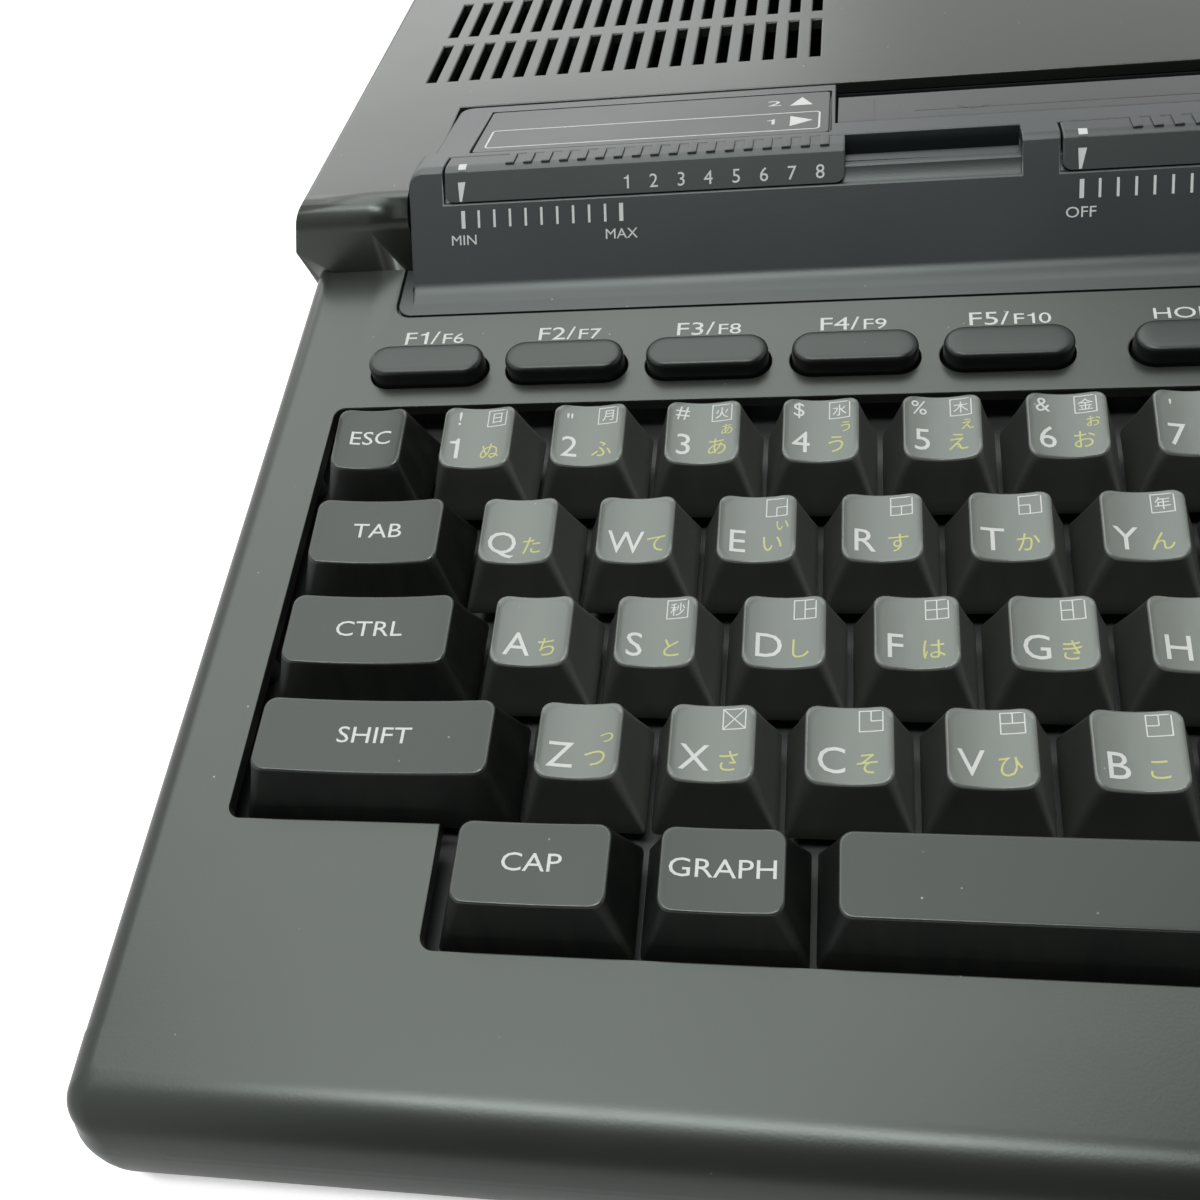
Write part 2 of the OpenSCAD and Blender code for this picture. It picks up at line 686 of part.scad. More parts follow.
// Outer form of the ridge: full section between the case's cheeks, clear of them outside
module ridge_shell() {
    difference() {
        along_x(-panel_w/2, panel_w/2) ridge_outline(deck_z(panel_y0) - 3);
        for (s = [0, 1]) mirror([s, 0, 0])
            block([tray_w/2, y_block + cheek_d, 0], [panel_w, panel_y1, block_h]);
        on_deck() block([-panel_w, -20, -30], [panel_w, deck_run + 9, -flange_t]);
    }
}

// The hollow under the ridge
module ridge_inside() {
    w = panel_wall;
    along_x(-tray_w/2 + w, tray_w/2 - w)
        polygon(concat([[panel_y0 + w/sin(face_angle), 0], [panel_y0 + w/sin(face_angle), panel_z0]],
                       arc(crest_c, crest_r - w, 90 + face_angle, 90 - tray_fall),
                       [[tray_y + 1, tray_z - w], [tray_y + 1, 0]]));
}

// The flange on the deck round the foot of the ridge
module flange() {
    a = (panel_y0 - y_deck)/cos(deck_tilt);
    on_deck() difference() {
        intersection() {
            soft_block([-panel_w/2 - flange_side, a - flange_d, -flange_t],
                       [panel_w/2 + flange_side, deck_run + 9, 0], flange_r);
            block([-panel_w, 0, -2*flange_t], [panel_w, deck_run - flange_t*tan(deck_tilt) - 0.1, e]);
        }
        block([-tray_w/2 + panel_wall, a + 3, -flange_t - 1], [tray_w/2 - panel_wall, deck_run + 9, 1]);
    }
}

// The solid that each slider track is cut into
module troughs() {
    for (x = track_x)
        along_x(x - 2, x + track_w + 2)
            polygon([[lip_y - (lip_z - trough_z)/tan(face_angle) + 0.5, trough_z],
                     [lip_y + 0.5, lip_z], [lip_y + 3, lip_z + 2],
                     [track_y1 + 1.5, lip_z + 3], [track_y1 + 1.5, trough_z]]);
}

// Track recesses with their rails, and the slot behind each rail for the slider's tongue
module slider_tracks() {
    for (x = track_x) {
        along_x(x, x + track_w)
            polygon([[lip_y - 5, lip_z], [rail_y0, lip_z], [rail_y0 + 1.4, rail_z],
                     [rail_y1, rail_z], [rail_y1, lip_z], [track_y1, lip_z],
                     [track_y1, crest_z + 5], [lip_y - 5, crest_z + 5]]);
        block([x, rail_y1, trough_z - 1], [x + track_w, track_y1, lip_z + 1]);
    }
}

module label_bed() {
    on_tray() block([label_x0 - 2, label_y - 1.5, -label_t - 1.6],
                    [label_x0 + label_w, tray_len - 3.2, -label_t/2]);
}

// Walls that guide a cartridge down from the slot's mouth
module slot_frame() {
    z0 = block_h - wall - slot_guide;
    w = slot_wall;
    difference() {
        block([slot_x0 - w, slot_y0 - w, z0], [slot_x0 + slot_w + w, slot_y1 + w, block_h - wall - gap]);
        block([slot_x0, slot_y0, z0 - 1], [slot_x0 + slot_w, slot_y1, far]);
    }
    top = tray_z - (slot_y0 - tray_y)*tan(tray_fall) - 0.8;
    for (x = [slot_x0 - w, slot_x0 + slot_w])
        along_x(x, x + w)
            polygon([[slot_y0 - w, block_h - wall - 5], [slot_y0 - w, top],
                     [panel_y1, block_h - 0.8], [panel_y1, block_h - wall - 5]]);
    along_x(slot_x0 - w, slot_x0 + slot_w + w)
        polygon([[slot_y0 - w, block_h - wall - 5], [slot_y0, block_h - wall - 5],
                 [slot_y0, top], [slot_y0 - w, top]]);
}

// The slot's mouth and the holes for the flap's pins
module slot_cut() {
    block([slot_x0, slot_y0, block_h - wall - slot_guide - 1], [slot_x0 + slot_w, slot_y1 + e, far]);
    on_tray() translate([slot_x0 - 1.6, flap_y, flap_axis_z]) rotate([0, 90, 0])
        cylinder(r = flap_pin_r + 0.05, h = slot_w + 3.2);
}

// Sleeves that guide the power and reset buttons
module button_guides() {
    z0 = block_h - 8;
    z1 = tray_z - 2.2;
    block([power_x - power_w/2 - 2, button_y - power_d/2 - 2, z0],
          [power_x + power_w/2 + 2, button_y + power_d/2 + 2, z1]);
    translate([reset_x, button_y, z0]) cylinder(r = reset_r + 2, h = z1 - z0);
}

module slot_label_plate() color("#3d4143")
    on_tray() soft_block([label_x0, label_y, -label_t],
                         [label_x0 + label_w, label_y + label_d, 0], 0.8);

// ---------- Sliders ----------

// One slider: a cover that follows the ridge's face and crest, with a tongue
module slider(i) {
    x0 = track_x[i] + slider_gap;
    g = slider_gap;
    y1 = track_y1 - g;
    top = tray_z + (tray_y - y1)*tan(tray_fall);
    face_y = lip_y + g/tan(face_angle);
    along_x(x0, x0 + slider_w)
        polygon(concat([[face_y, lip_z + g], [rail_y0 - g*0.6, lip_z + g], [rail_y0 + 1.2, rail_z + g],
                        [rail_y1 + g, rail_z + g], [rail_y1 + g, lip_z + g], [y1, lip_z + g], [y1, top]],
                       arc(crest_c, crest_r, 90 - tray_fall, 90 + face_angle)));
    block([x0 + slider_w/2 - tongue_w/2, rail_y1 + g, trough_z - 6],
          [x0 + slider_w/2 + tongue_w/2, y1, lip_z + g + e]);
}

module speed_slider() color("#3b3e41") slider(0);
module turbo_slider() color("#3b3e41") slider(1);

// Slide potentiometers under the tracks, slotted for the sliders' tongues
module slide_pots() color("#6b6f72") for (x = track_x) difference() {
    block([x + 10, rail_y1 - 3, trough_z - pot_h], [x + track_w - 10, track_y1 + 1.4, trough_z]);
    block([x + 14, rail_y1, trough_z - pot_h + 2], [x + track_w - 14, track_y1, trough_z + 1]);
}

module cartridge_flap() color("#3c4042") on_tray() {
    x0 = slot_x0 + 0.5;
    x1 = slot_x0 + slot_w - 0.5;
    difference() {
        block([x0, flap_y, flap_z - flap_t], [x1, flap_y - flap_barrel_r + flap_d, flap_z]);
        // finger groove across the flap
        block([x0 + 14, flap_y + 3.4, flap_z - 0.25], [x1 - 14, flap_y + 3.8, flap_z + 1]);
    }
    translate([x0, flap_y, flap_axis_z]) rotate([0, 90, 0]) cylinder(r = flap_barrel_r, h = x1 - x0);
    translate([slot_x0 - 1.4, flap_y, flap_axis_z]) rotate([0, 90, 0])
        cylinder(r = flap_pin_r, h = slot_w + 2.8);
}

module power_button() color("#8b2f2a")
    translate([power_x, button_y, 0])
        block([-power_w/2, -power_d/2, block_h - 8], [power_w/2, power_d/2, button_z + 1.5]);

module reset_button() color("#555a5c")
    translate([reset_x, button_y, block_h - 8])
        cylinder(r = reset_r, h = button_z + 0.5 - block_h + 8);

// ---------- Key mechanism ----------

// Guide plate for the key stems, hung from posts under the deck
module key_frame() color("#8f9494") on_deck() difference() {
    union() {
        block([frame_x0, frame_y0, frame_bot], [frame_x1, frame_y1, frame_top]);
        for (p = concat(key_stems(), cursor_stems())) towers(p);
        // rim that spaces the contact board from the plate
        for (y = [frame_y0, frame_y1 - 2])
            block([frame_x0, y, board_top], [frame_x1, y + 2, frame_bot + e]);
    }
    for (p = concat(key_stems(), cursor_stems(), fkey_stems()))
        translate([p[0], p[1], frame_bot - 1])
            stem_hole(stem_s + 2*stem_play, frame_t + tower_h + 3);
}

function key_stems() = [for (p = concat(left_cols, number_cols, letter_cols, wide_cols))
                        [key_x(p[0]), key_y(p[1])]];
function cursor_stems() = [for (p = cursor_at) [cursor_x + p[0]*key_pitch, key_y(p[1])]];
function fkey_stems() = [for (i = [0:9]) [fkey_x(i), fkey_y]];

module towers(p) translate([p[0] - tower_s/2, p[1] - tower_s/2, frame_top - e])
    cube([tower_s, tower_s, tower_h]);

module stem_hole(s, h) translate([-s/2, -s/2, 0]) cube([s, s, h]);

module rubber_domes() color("#b9b4a6") on_deck() difference() {
    union() {
        block([frame_x0 + 1, frame_y0 + 2.2, board_top], [frame_x1 - 1, frame_y1 - 2.2, board_top + mat_t]);
        for (p = concat(key_stems(), cursor_stems()))
            translate([p[0], p[1], board_top + mat_t - e])
                cylinder(r1 = dome_r0, r2 = dome_r1, h = dome_top - board_top - mat_t);
        for (p = fkey_stems()) translate([p[0], p[1], board_top + mat_t - e])
            cylinder(r1 = dome_r0 - 0.7, r2 = dome_r1, h = dome_top - board_top - mat_t);
    }
    for (p = concat(key_stems(), cursor_stems(), fkey_stems()))
        translate([p[0], p[1], board_top - 1]) stem_hole(stem_s + 4*stem_play, far/10);
}

module contact_board() color("#2f5d3a") on_deck()
    block([frame_x0, frame_y0, board_top - pcb_t], [frame_x1, frame_y1, board_top]);

module ribbon_cable() color("#a8a49a") {
    a = dk(frame_y1 - 4, board_top - pcb_t);
    x0 = board_x0 + 45;
    along_x(x0, x0 + 42)
        polygon([[a[0] - 0.4, board_z + pcb_t + 3], [a[0] + 0.4, board_z + pcb_t + 3],
                 [a[0] + 0.4, a[1] + 0.4*tan(deck_tilt)], [a[0] - 0.4, a[1] - 0.4*tan(deck_tilt)]]);
    block([x0 - 2, a[0] - 2.5, board_z + pcb_t], [x0 + 44, a[0] + 2.5, board_z + pcb_t + 3]);
}

// ---------- Electronics ----------

module main_board() color("#2d5a34") difference() {
    block([board_x0, board_y0, board_z], [board_x1, board_y1, board_z + pcb_t]);
    for (p = board_screws) translate([p[0], p[1], board_z - 1]) cylinder(r = screw_r + 0.3, h = 4);
}

// A chip with its two rows of legs; w along x, d along y
module chip(x, y, w, d) {
    z = board_z + pcb_t;
    block([x - w/2, y - d/2, z + 1], [x + w/2, y + d/2, z + 4.2]);
    for (s = [-1, 1]) translate([0, y + s*(d/2 - 0.4), z])
        block([x - w/2 + 1, -0.3, 0], [x + w/2 - 1, 0.3, 1 + e]);
}

module board_parts() color("#1e1f20") {
    z = board_z + pcb_t;
    y0 = board_y0 + chip_row;         // middle of the front row of chips
    // processor, video, sound, glue and memory chips
    chip(board_x0 + 125, y0, 52, 14);
    chip(board_x0 + 190, y0 + 4, 52, 14);
    chip(board_x0 + 190, y0 + 28, 36, 14);
    chip(board_x0 + 150, y0 + 26, 36, 14);
    for (i = [0:7]) chip(board_x0 + 18 + i*13, y0 + 26, 9, 19);
    for (i = [0:3]) chip(board_x0 + 135 + i*28, y0 + 54, 22, 7);
    // crystal can, capacitors and the sound transformer
    translate([board_x0 + 225, y0 + 14, z]) stadium(11, 4.6, 9);
    for (i = [0:4]) translate([board_x0 + 224, y0 + 26 + i*9, z])
        cylinder(r = 3, h = 11);
}

module power_supply() {
    color("#b08b4a") difference() {
        block([psu_x0, psu_y0, psu_z], [psu_x1, psu_y1, psu_z + pcb_t]);
        for (p = psu_screws) translate([p[0], p[1], psu_z - 1]) cylinder(r = screw_r + 0.3, h = 4);
    }
    z = psu_z + pcb_t;
    tx = psu_x0 + 12;
    ty = psu_y0 + 9;
    // transformer: iron core with the winding standing out at both ends
    color("#7d7f80") {
        block([tx, ty + 6, z], [tx + transformer_w, ty + 30, z + transformer_h]);
        block([tx + 7, ty, z + 5], [tx + transformer_w - 7, ty + 36, z + transformer_h - 5]);
    }
    // heat sink fins
    color("#c2c4c6") {
        block([psu_x1 - 20, psu_y0 + 10, z], [psu_x1 - 8, psu_y0 + 38, z + 2]);
        for (i = [0:3]) block([psu_x1 - 20 + i*3.6, psu_y0 + 10, z + 2 - e],
                              [psu_x1 - 18.8 + i*3.6, psu_y0 + 38, z + 28]);
    }
    // smoothing capacitors
    color("#2b3a58") for (x = [psu_x0 + 40, psu_x0 + 58]) translate([x, psu_y1 - 7, z])
        cylinder(r = 5.5, h = 20);
}

module cartridge_connectors() color("#25272a") {
    z = board_z + pcb_t;
    x = slot_x0 + slot_w/2 - conn_w/2;
    difference() {
        block([x, slot_mid - conn_t/2, z], [x + conn_w, slot_mid + conn_t/2, z + conn_h]);
        block([x + 4, slot_mid - 1.2, z + 3], [x + conn_w - 4, slot_mid + 1.2, z + conn_h + 1]);
    }
    xr = rear_slot_x0 + slot_w/2 - conn_w/2;
    zm = rear_slot_z + rear_slot_h/2;
    y1 = y_rear - 30;
    difference() {
        block([xr, y1 - conn_h, z], [xr + conn_w, y1, zm + conn_t/2]);
        block([xr + 4, y1 - conn_h + 3, zm - 1.2], [xr + conn_w - 4, y1 + 1, zm + 1.2]);
    }
}

// Sockets behind the rear and side walls, each seated on the main board or in its cut-out
module sockets() {
    y1 = y_rear - 0.4;
    z = board_z + pcb_t;
    yb = board_y1 - socket_depth;
    color("#1c1d1f") {
        difference() {
            union() {
                block([printer_x - 20.5, yb, z], [printer_x + 20.5, y_rear - wall - gap, socket_z + 5.6]);
                block([printer_x - 20.5, yb, socket_z - 5.6], [printer_x + 20.5, y1, socket_z + 5.6]);
            }
            block([printer_x - 17, y1 - 6, socket_z - 3.4], [printer_x + 17, y1 + 1, socket_z + 3.4]);
        }
        block([printer_x - 14, y1 - 7, socket_z - 1.2], [printer_x + 14, y1 - 1.4, socket_z + 1.2]);
        for (x = din_x) difference() {
            union() {
                block([x - din_r, yb, z], [x + din_r, y_rear - wall - gap, socket_z + din_r]);
                translate([x, y1, socket_z]) rotate([90, 0, 0]) cylinder(r = din_r, h = 10);
            }
            // groove for the plug's shell, and its pin holes
            translate([x, y1 + 1, socket_z]) rotate([90, 0, 0]) difference() {
                cylinder(r = din_r - 0.8, h = 6);
                translate([0, 0, 1.5]) cylinder(r = din_r - 2, h = 5);
            }
            for (a = [0:45:180]) translate([x + 3.2*cos(a), y1, socket_z + 3.2*sin(a) - 1])
                rotate([90, 0, 0]) cylinder(r = 0.7, h = 6);
        }
        for (x = rca_x) difference() {
            union() {
                block([x - 5, yb, z], [x + 5, y_rear - wall - gap, socket_z + 5]);
                translate([x, y1 + 0.4, socket_z]) rotate([90, 0, 0]) cylinder(r = rca_r, h = 10);
            }
            translate([x, y1 + 1, socket_z]) rotate([90, 0, 0]) cylinder(r = 1.6, h = 8);
        }
        inlet();
        for (y = joy_y) joystick_port(y);
    }
}

// Mains inlet in the rear wall, on the power supply's board, with two pins in round wells
module inlet() {
    y1 = y_rear - 0.4;
    difference() {
        union() {
            block([inlet_x - 11, psu_y1 - 10, inlet_z - 7], [inlet_x + 11, y1, inlet_z + 7]);
            block([inlet_x - 11, psu_y1 - 10, psu_z + pcb_t], [inlet_x + 11, psu_y1 - 2, inlet_z - 6]);
        }
        for (s = [-1, 1]) translate([inlet_x + s*4.3, y1 + 1, inlet_z]) rotate([90, 0, 0])
            cylinder(r = 3.6, h = 9);
    }
    for (s = [-1, 1]) translate([inlet_x + s*4.3, y1 - 1.5, inlet_z]) rotate([90, 0, 0])
        cylinder(r = 1.2, h = 7);
}

// Nine-pin port in the right side wall, with a flange behind the wall
module joystick_port(y) {
    x1 = block_w/2 - 0.4;
    z = socket_z + 6;
    difference() {
        union() {
            block([x1 - 12, y - dsub_w/2, z - dsub_h/2], [x1, y + dsub_w/2, z + dsub_h/2]);
            block([block_w/2 - wall - 1.5, y - 13, z - 6], [block_w/2 - wall, y + 13, z + 6]);
        }
        block([x1 - 6, y - dsub_w/2 + 1, z - dsub_h/2 + 1], [x1 + 1, y + dsub_w/2 - 1, z + dsub_h/2 - 1]);
    }
    for (i = [-2:2]) translate([x1 - 6.5, y + i*2.8, z + 1.4]) rotate([0, 90, 0]) cylinder(r = 0.5, h = 5.5);
    for (i = [-1.5:1:1.5]) translate([x1 - 6.5, y + i*2.8, z - 1.4]) rotate([0, 90, 0])
        cylinder(r = 0.5, h = 5.5);
}

// ---------- Keys ----------

// A keycap's outer form. x, y: middle of its top; w: width in units; d: depth in units;
// lift: height of its top over the usual one; i: inset for the hollow inside
module cap_form(w, d, lift, i) {
    foot = w*key_pitch - key_gap - 2*i;
    tw = foot - 2*side_slope;
    extra = (d - 1)*key_pitch/2;
    y0 = -key_foot_front - extra + i;
    y1 = y0 + key_foot_d + 2*extra - 2*i;
    t0 = -key_top_d/2 - extra + i;
    t1 = key_top_d/2 + extra - i;
    z0 = key_rise - key_h;
    z1 = key_rise + lift - i;
    intersection() {
        along_y(y0 - 1, y1 + 1) polygon([[-foot/2, z0], [-tw/2, z1], [tw/2, z1], [foot/2, z0]]);
        along_x(-foot, foot) polygon([[y0, z0], [t0, z1], [t1, z1], [y1, z0]]);
    }
}

// The hollow across a key's top: a cylinder along y that sinks to dish in the middle
module dish_cut(w, d, lift, dish) {
    tw = w*key_pitch - key_gap - 2*side_slope;
    r = (tw*tw/4 + dish*dish)/(2*dish);
    len = d*key_pitch + 10;
    translate([0, len/2, key_rise + lift - dish + r]) rotate([90, 0, 0])
        cylinder(r = r, h = len, $fn = 240);
}

// A whole key in the deck's frame, with stems at the given places along x
module key(x, row, w = 1, dish = key_dish, stems = [0]) {
    up = row_rise[row];
    on_deck() translate([x, key_y(row), 0]) {
        difference() {
            cap_form(w, 1, up, 0);
            if (dish > 0) dish_cut(w, 1, up, dish);
            cap_form(w, 1, up - dish, key_wall);
            translate([0, 0, key_rise - key_h - e]) foot_cut(w, 1);
        }
        for (s = stems) stem(s*key_pitch, up - dish);
    }
}

// Opens the keycap's foot, so that its rim is key_wall wide
module foot_cut(w, d) {
    foot = w*key_pitch - key_gap - 2*key_wall;
    extra = (d - 1)*key_pitch/2;
    y0 = -key_foot_front - extra + key_wall;
    block([-foot/2, y0, -1], [foot/2, y0 + key_foot_d + 2*extra - 2*key_wall, 2*e]);
}

module stem(x, up) {
    top = key_rise + up - key_wall + 0.2;
    translate([x, 0, stem_end]) stem_hole(stem_s, top - stem_end);
}

module letter_key(u, row) color("#4a4d4e") key(key_x(u), row);
module command_key(u, row, w) color("#2c2d2e") key(key_x(u), row, w, dish = 0.8);
module low_key(u, w) color("#303233") key(key_x(u), 4, w, dish = 0.4);

module fkey(i) color("#2c2d2e") on_deck() translate([fkey_x(i), fkey_y, 0]) {
    difference() {
        translate([0, 0, -5]) stadium(fkey_w, fkey_d, fkey_rise + 5);
        translate([0, 0, -6]) stadium(fkey_w - 2.6, fkey_d - 2.6, fkey_rise + 4.4);
    }
    translate([0, 0, stem_end]) stem_hole(stem_s - 0.2, fkey_rise - 1 - stem_end);
}

module key_esc() command_key(-1, 0, 1);
module key_tab() command_key(-0.75, 1, 1.5);
module key_ctrl() command_key(-0.625, 2, 1.75);
module key_shift() command_key(-0.375, 3, 2.25);
module key_caps() low_key(1, 1.5);
module key_graph() low_key(2.375, 1.25);
module key_space() color("#303233") key(key_x(7), 4, 8, dish = 0, stems = [-2.8, 0, 2.8]);
module key_f1() fkey(0);
module key_f2() fkey(1);
module key_f3() fkey(2);
module key_f4() fkey(3);
module key_f5() fkey(4);
module key_1() letter_key(0, 0);
module key_2() letter_key(1, 0);
module key_3() letter_key(2, 0);
module key_4() letter_key(3, 0);
module key_5() letter_key(4, 0);
module key_6() letter_key(5, 0);
module key_q() letter_key(0.5, 1);
module key_w() letter_key(1.5, 1);
module key_e() letter_key(2.5, 1);
module key_r() letter_key(3.5, 1);
module key_t() letter_key(4.5, 1);
module key_y_() letter_key(5.5, 1);
module key_a() letter_key(0.75, 2);
module key_s() letter_key(1.75, 2);
module key_d() letter_key(2.75, 2);
module key_f() letter_key(3.75, 2);
module key_g() letter_key(4.75, 2);
module key_z() letter_key(1.25, 3);
module key_x_() letter_key(2.25, 3);
module key_c() letter_key(3.25, 3);
module key_v() letter_key(4.25, 3);
module key_b() letter_key(5.25, 3);

module right_number_keys() for (p = number_cols) letter_key(p[0], p[1]);
module right_letter_keys() for (p = letter_cols) letter_key(p[0], p[1]);

module right_command_keys() {
    return_key();
    command_key(12.625, 3, 1.75);
    low_key(11.75, 1.5);
}

// The return key: one cap over two rows, wider in the upper one
module return_key() color("#2c2d2e") on_deck() {
    upper = [key_x(12.75), key_y(1), 0];
    whole = [key_x(12.875), key_y(1.5), 0];
    difference() {
        union() {
            translate(upper) cap_form(1.5, 1, 0, 0);
            translate(whole) cap_form(1.25, 2, 0, 0);
        }
        translate(whole) dish_cut(1.25, 2, 0, 0.8);
        translate(upper) cap_form(1.5, 1, -0.8, key_wall);
        translate(whole) cap_form(1.25, 2, -0.8, key_wall);
        translate(upper + [0, 0, key_rise - key_h - e]) foot_cut(1.5, 1);
        translate(whole + [0, 0, key_rise - key_h - e]) foot_cut(1.25, 2);
    }
    translate(whole) stem(0, -0.8);
}

module cursor_keys() color("#2c2d2e")
    for (p = cursor_at) key(cursor_x + p[0]*key_pitch, p[1], 1.5, dish = 0.8);

module editing_keys() for (i = [5:9]) fkey(i);

lower_case();
upper_case();
control_panel();
slot_label_plate();
rubber_feet();
screws();
main_board();
board_parts();
power_supply();
key_frame();
rubber_domes();
contact_board();
ribbon_cable();
cartridge_connectors();
sockets();
slide_pots();
speed_slider();
turbo_slider();
cartridge_flap();
power_button();
reset_button();
key_esc();
key_tab();
key_ctrl();
key_shift();
key_caps();
key_graph();
key_space();
key_f1();
key_f2();
key_f3();
key_f4();
key_f5();
key_1();
key_2();
key_3();
key_4();
key_5();
key_6();
key_q();
key_w();
key_e();
key_r();
key_t();
key_y_();  // key_y
key_a();
key_s();
key_d();
key_f();
key_g();
key_z();
key_x_();  // key_x
key_c();
key_v();
key_b();
right_number_keys();
right_letter_keys();
right_command_keys();
cursor_keys();
editing_keys();
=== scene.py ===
"""Looks of the keyboard computer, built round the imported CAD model.

Lengths are in millimetres; a mesh is scaled to metres where it is made. Places come from the
CAD frame: the deck, the panel's tray part and the ridge's face each have a matrix of their own.
"""

import json
from functools import cache
from math import acos, atan, atan2, ceil, copysign, cos, degrees, pi, radians, sin, sqrt, tan

import bmesh
import bpy
from mathutils import Matrix, Vector


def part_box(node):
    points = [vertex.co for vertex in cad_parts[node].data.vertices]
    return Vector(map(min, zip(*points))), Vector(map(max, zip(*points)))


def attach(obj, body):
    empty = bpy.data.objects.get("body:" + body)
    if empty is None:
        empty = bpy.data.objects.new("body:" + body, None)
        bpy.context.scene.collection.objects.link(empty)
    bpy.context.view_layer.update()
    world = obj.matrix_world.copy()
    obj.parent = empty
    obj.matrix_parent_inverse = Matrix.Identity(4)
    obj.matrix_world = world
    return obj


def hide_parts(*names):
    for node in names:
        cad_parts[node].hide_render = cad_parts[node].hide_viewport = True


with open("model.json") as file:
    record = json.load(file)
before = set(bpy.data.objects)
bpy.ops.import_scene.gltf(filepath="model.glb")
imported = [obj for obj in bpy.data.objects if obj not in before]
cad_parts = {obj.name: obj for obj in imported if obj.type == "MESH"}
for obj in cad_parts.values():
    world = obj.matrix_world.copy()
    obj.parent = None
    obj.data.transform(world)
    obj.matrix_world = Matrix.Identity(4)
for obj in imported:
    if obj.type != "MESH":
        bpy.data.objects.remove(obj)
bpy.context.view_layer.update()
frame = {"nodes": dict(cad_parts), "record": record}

MM = 0.001
SCENE = bpy.context.scene

# ---- Sizes and places, as the CAD model has them ----

# Keys
PITCH = 19.0  # from key to key
KEY_GAP = 0.9
TOP_W = 12.2  # a key's top; the sides flare down to its foot
TOP_D = 12.3
FOOT_D = 16.7
FOOT_FRONT = 9.6  # from the middle of the top to the foot's front
KEY_H = 10.5
KEY_RISE = 6.5  # the top over the deck
KEY_WALL = 1.3
STEM = 4.4
STEM_END = -11.0
ROW_RISE = (0.2, -0.5, -0.3, 0.6, 0.0)
KEY_FRONT = 29.2  # from the deck's front edge to the middle of the front row
SIDE_MARGIN = 14.0
CURSOR_GAP = 10.0
FKEY_BACK = 21.5  # from the number row to the function buttons
FKEY_PITCH = 25.4
FKEY_SPLIT = 5.25  # extra room between the two groups of five
FKEY_INDENT = 5.15  # from the middle of the escape key to that of the first button
FKEY_W = 21.4
FKEY_D = 7.2
FKEY_RISE = 3.5
# Case
DECK_TILT = 12.0
DECK_FRONT_H = 21.2
DECK_INSET = 2.0  # how much narrower than the block the deck is, on each side
FRONT_R = 10.7
SIDE_R = 4.5
BLOCK_D = 112.0
BLOCK_R = 2.5
DRAFT_H = 9.2  # height of the band under the block's top where its sides lean in
DRAFT_IN = 2.4
SEAM_Z = 12.6
FOOT_H = 3.0
TRAY_TAPER = 3.5
# Control panel
FACE_ANGLE = 55.0
RIDGE_FRONT = 7.3
RIDGE_BACK = 14.2
PANEL_D = 39.2
PANEL_MARGIN = 24.2
PANEL_STEP = 3.0
TRAY_RISE = 2.6
CREST_R = 3.0
CREST_RISE = 3.3
FLAP_DROP = -0.4  # the flap's top under the panel's
# Sliders
SLIDER_W = 73.8
SLIDER_TRAVEL = 30.0
SLIDER_MARGIN = 7.1  # from the panel's end to the first slider
SLIDER_BRIDGE = 6.5  # between the two tracks
SLIDER_GAP = 0.3
SLIDER_DROP = 5.2  # depth of the track's floor under the crest
RAIL_H = 2.3
RAIL_FRONT = 2.4  # the rail's faces and the track's rear, from its front lip
RAIL_BACK = 6.7
TRACK_D = 9.5

case_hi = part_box("upper_case")[1]/MM
Y_FRONT = -case_hi.y
Y_DECK = Y_FRONT + FRONT_R*(1 - sin(radians(DECK_TILT)))
Y_BLOCK = case_hi.y - BLOCK_D
BLOCK_H = case_hi.z
BLOCK_HALF = case_hi.x
DECK_HALF = BLOCK_HALF - DECK_INSET
KEY_X0 = -DECK_HALF + SIDE_MARGIN + 1.5*PITCH
CURSOR_X = KEY_X0 + 15*PITCH + CURSOR_GAP
FKEY_Y = KEY_FRONT + 4*PITCH + FKEY_BACK
FKEY_X0 = KEY_X0 - PITCH + FKEY_INDENT
PANEL_HALF = BLOCK_HALF - PANEL_MARGIN
TRAY_HALF = PANEL_HALF - PANEL_STEP
PANEL_Y0 = Y_BLOCK - RIDGE_FRONT
PANEL_Y1 = Y_BLOCK + PANEL_D
PANEL_Z0 = DECK_FRONT_H + (PANEL_Y0 - Y_DECK)*tan(radians(DECK_TILT))
TRAY_Y = Y_BLOCK + RIDGE_BACK
TRAY_Z = BLOCK_H + TRAY_RISE
TRAY_FALL = degrees(atan(TRAY_RISE/(PANEL_Y1 - TRAY_Y)))


def turned(x, y, z, tilt):
    """The frame at a point, turned about X."""
    return Matrix.Translation((x, y, z)) @ Matrix.Rotation(radians(tilt), 4, "X")


DECK = turned(0, Y_DECK, DECK_FRONT_H, DECK_TILT)
FACE = turned(0, PANEL_Y0, PANEL_Z0, FACE_ANGLE)
TRAY = turned(0, TRAY_Y, TRAY_Z, -TRAY_FALL)


def key_at(column, row):
    """The frame of a key: its origin in the deck's surface under the middle of its top."""
    return DECK @ Matrix.Translation((KEY_X0 + column*PITCH, KEY_FRONT + (4 - row)*PITCH, 0))


def fkey_at(i):
    """The frame of a function button, counted from the left."""
    split = FKEY_SPLIT if i > 4 else 0
    return DECK @ Matrix.Translation((FKEY_X0 + i*FKEY_PITCH + split, FKEY_Y, 0))


# ---- Camera ----

CAMERA_AT = (-84.44, -208.32, 189.50)
CAMERA_TURN = (46.214, 7.266, 7.514)
CAMERA_LENS = 42.2


def added(name, data):
    """A new object in the scene."""
    thing = bpy.data.objects.new(name, data)
    SCENE.collection.objects.link(thing)
    return thing


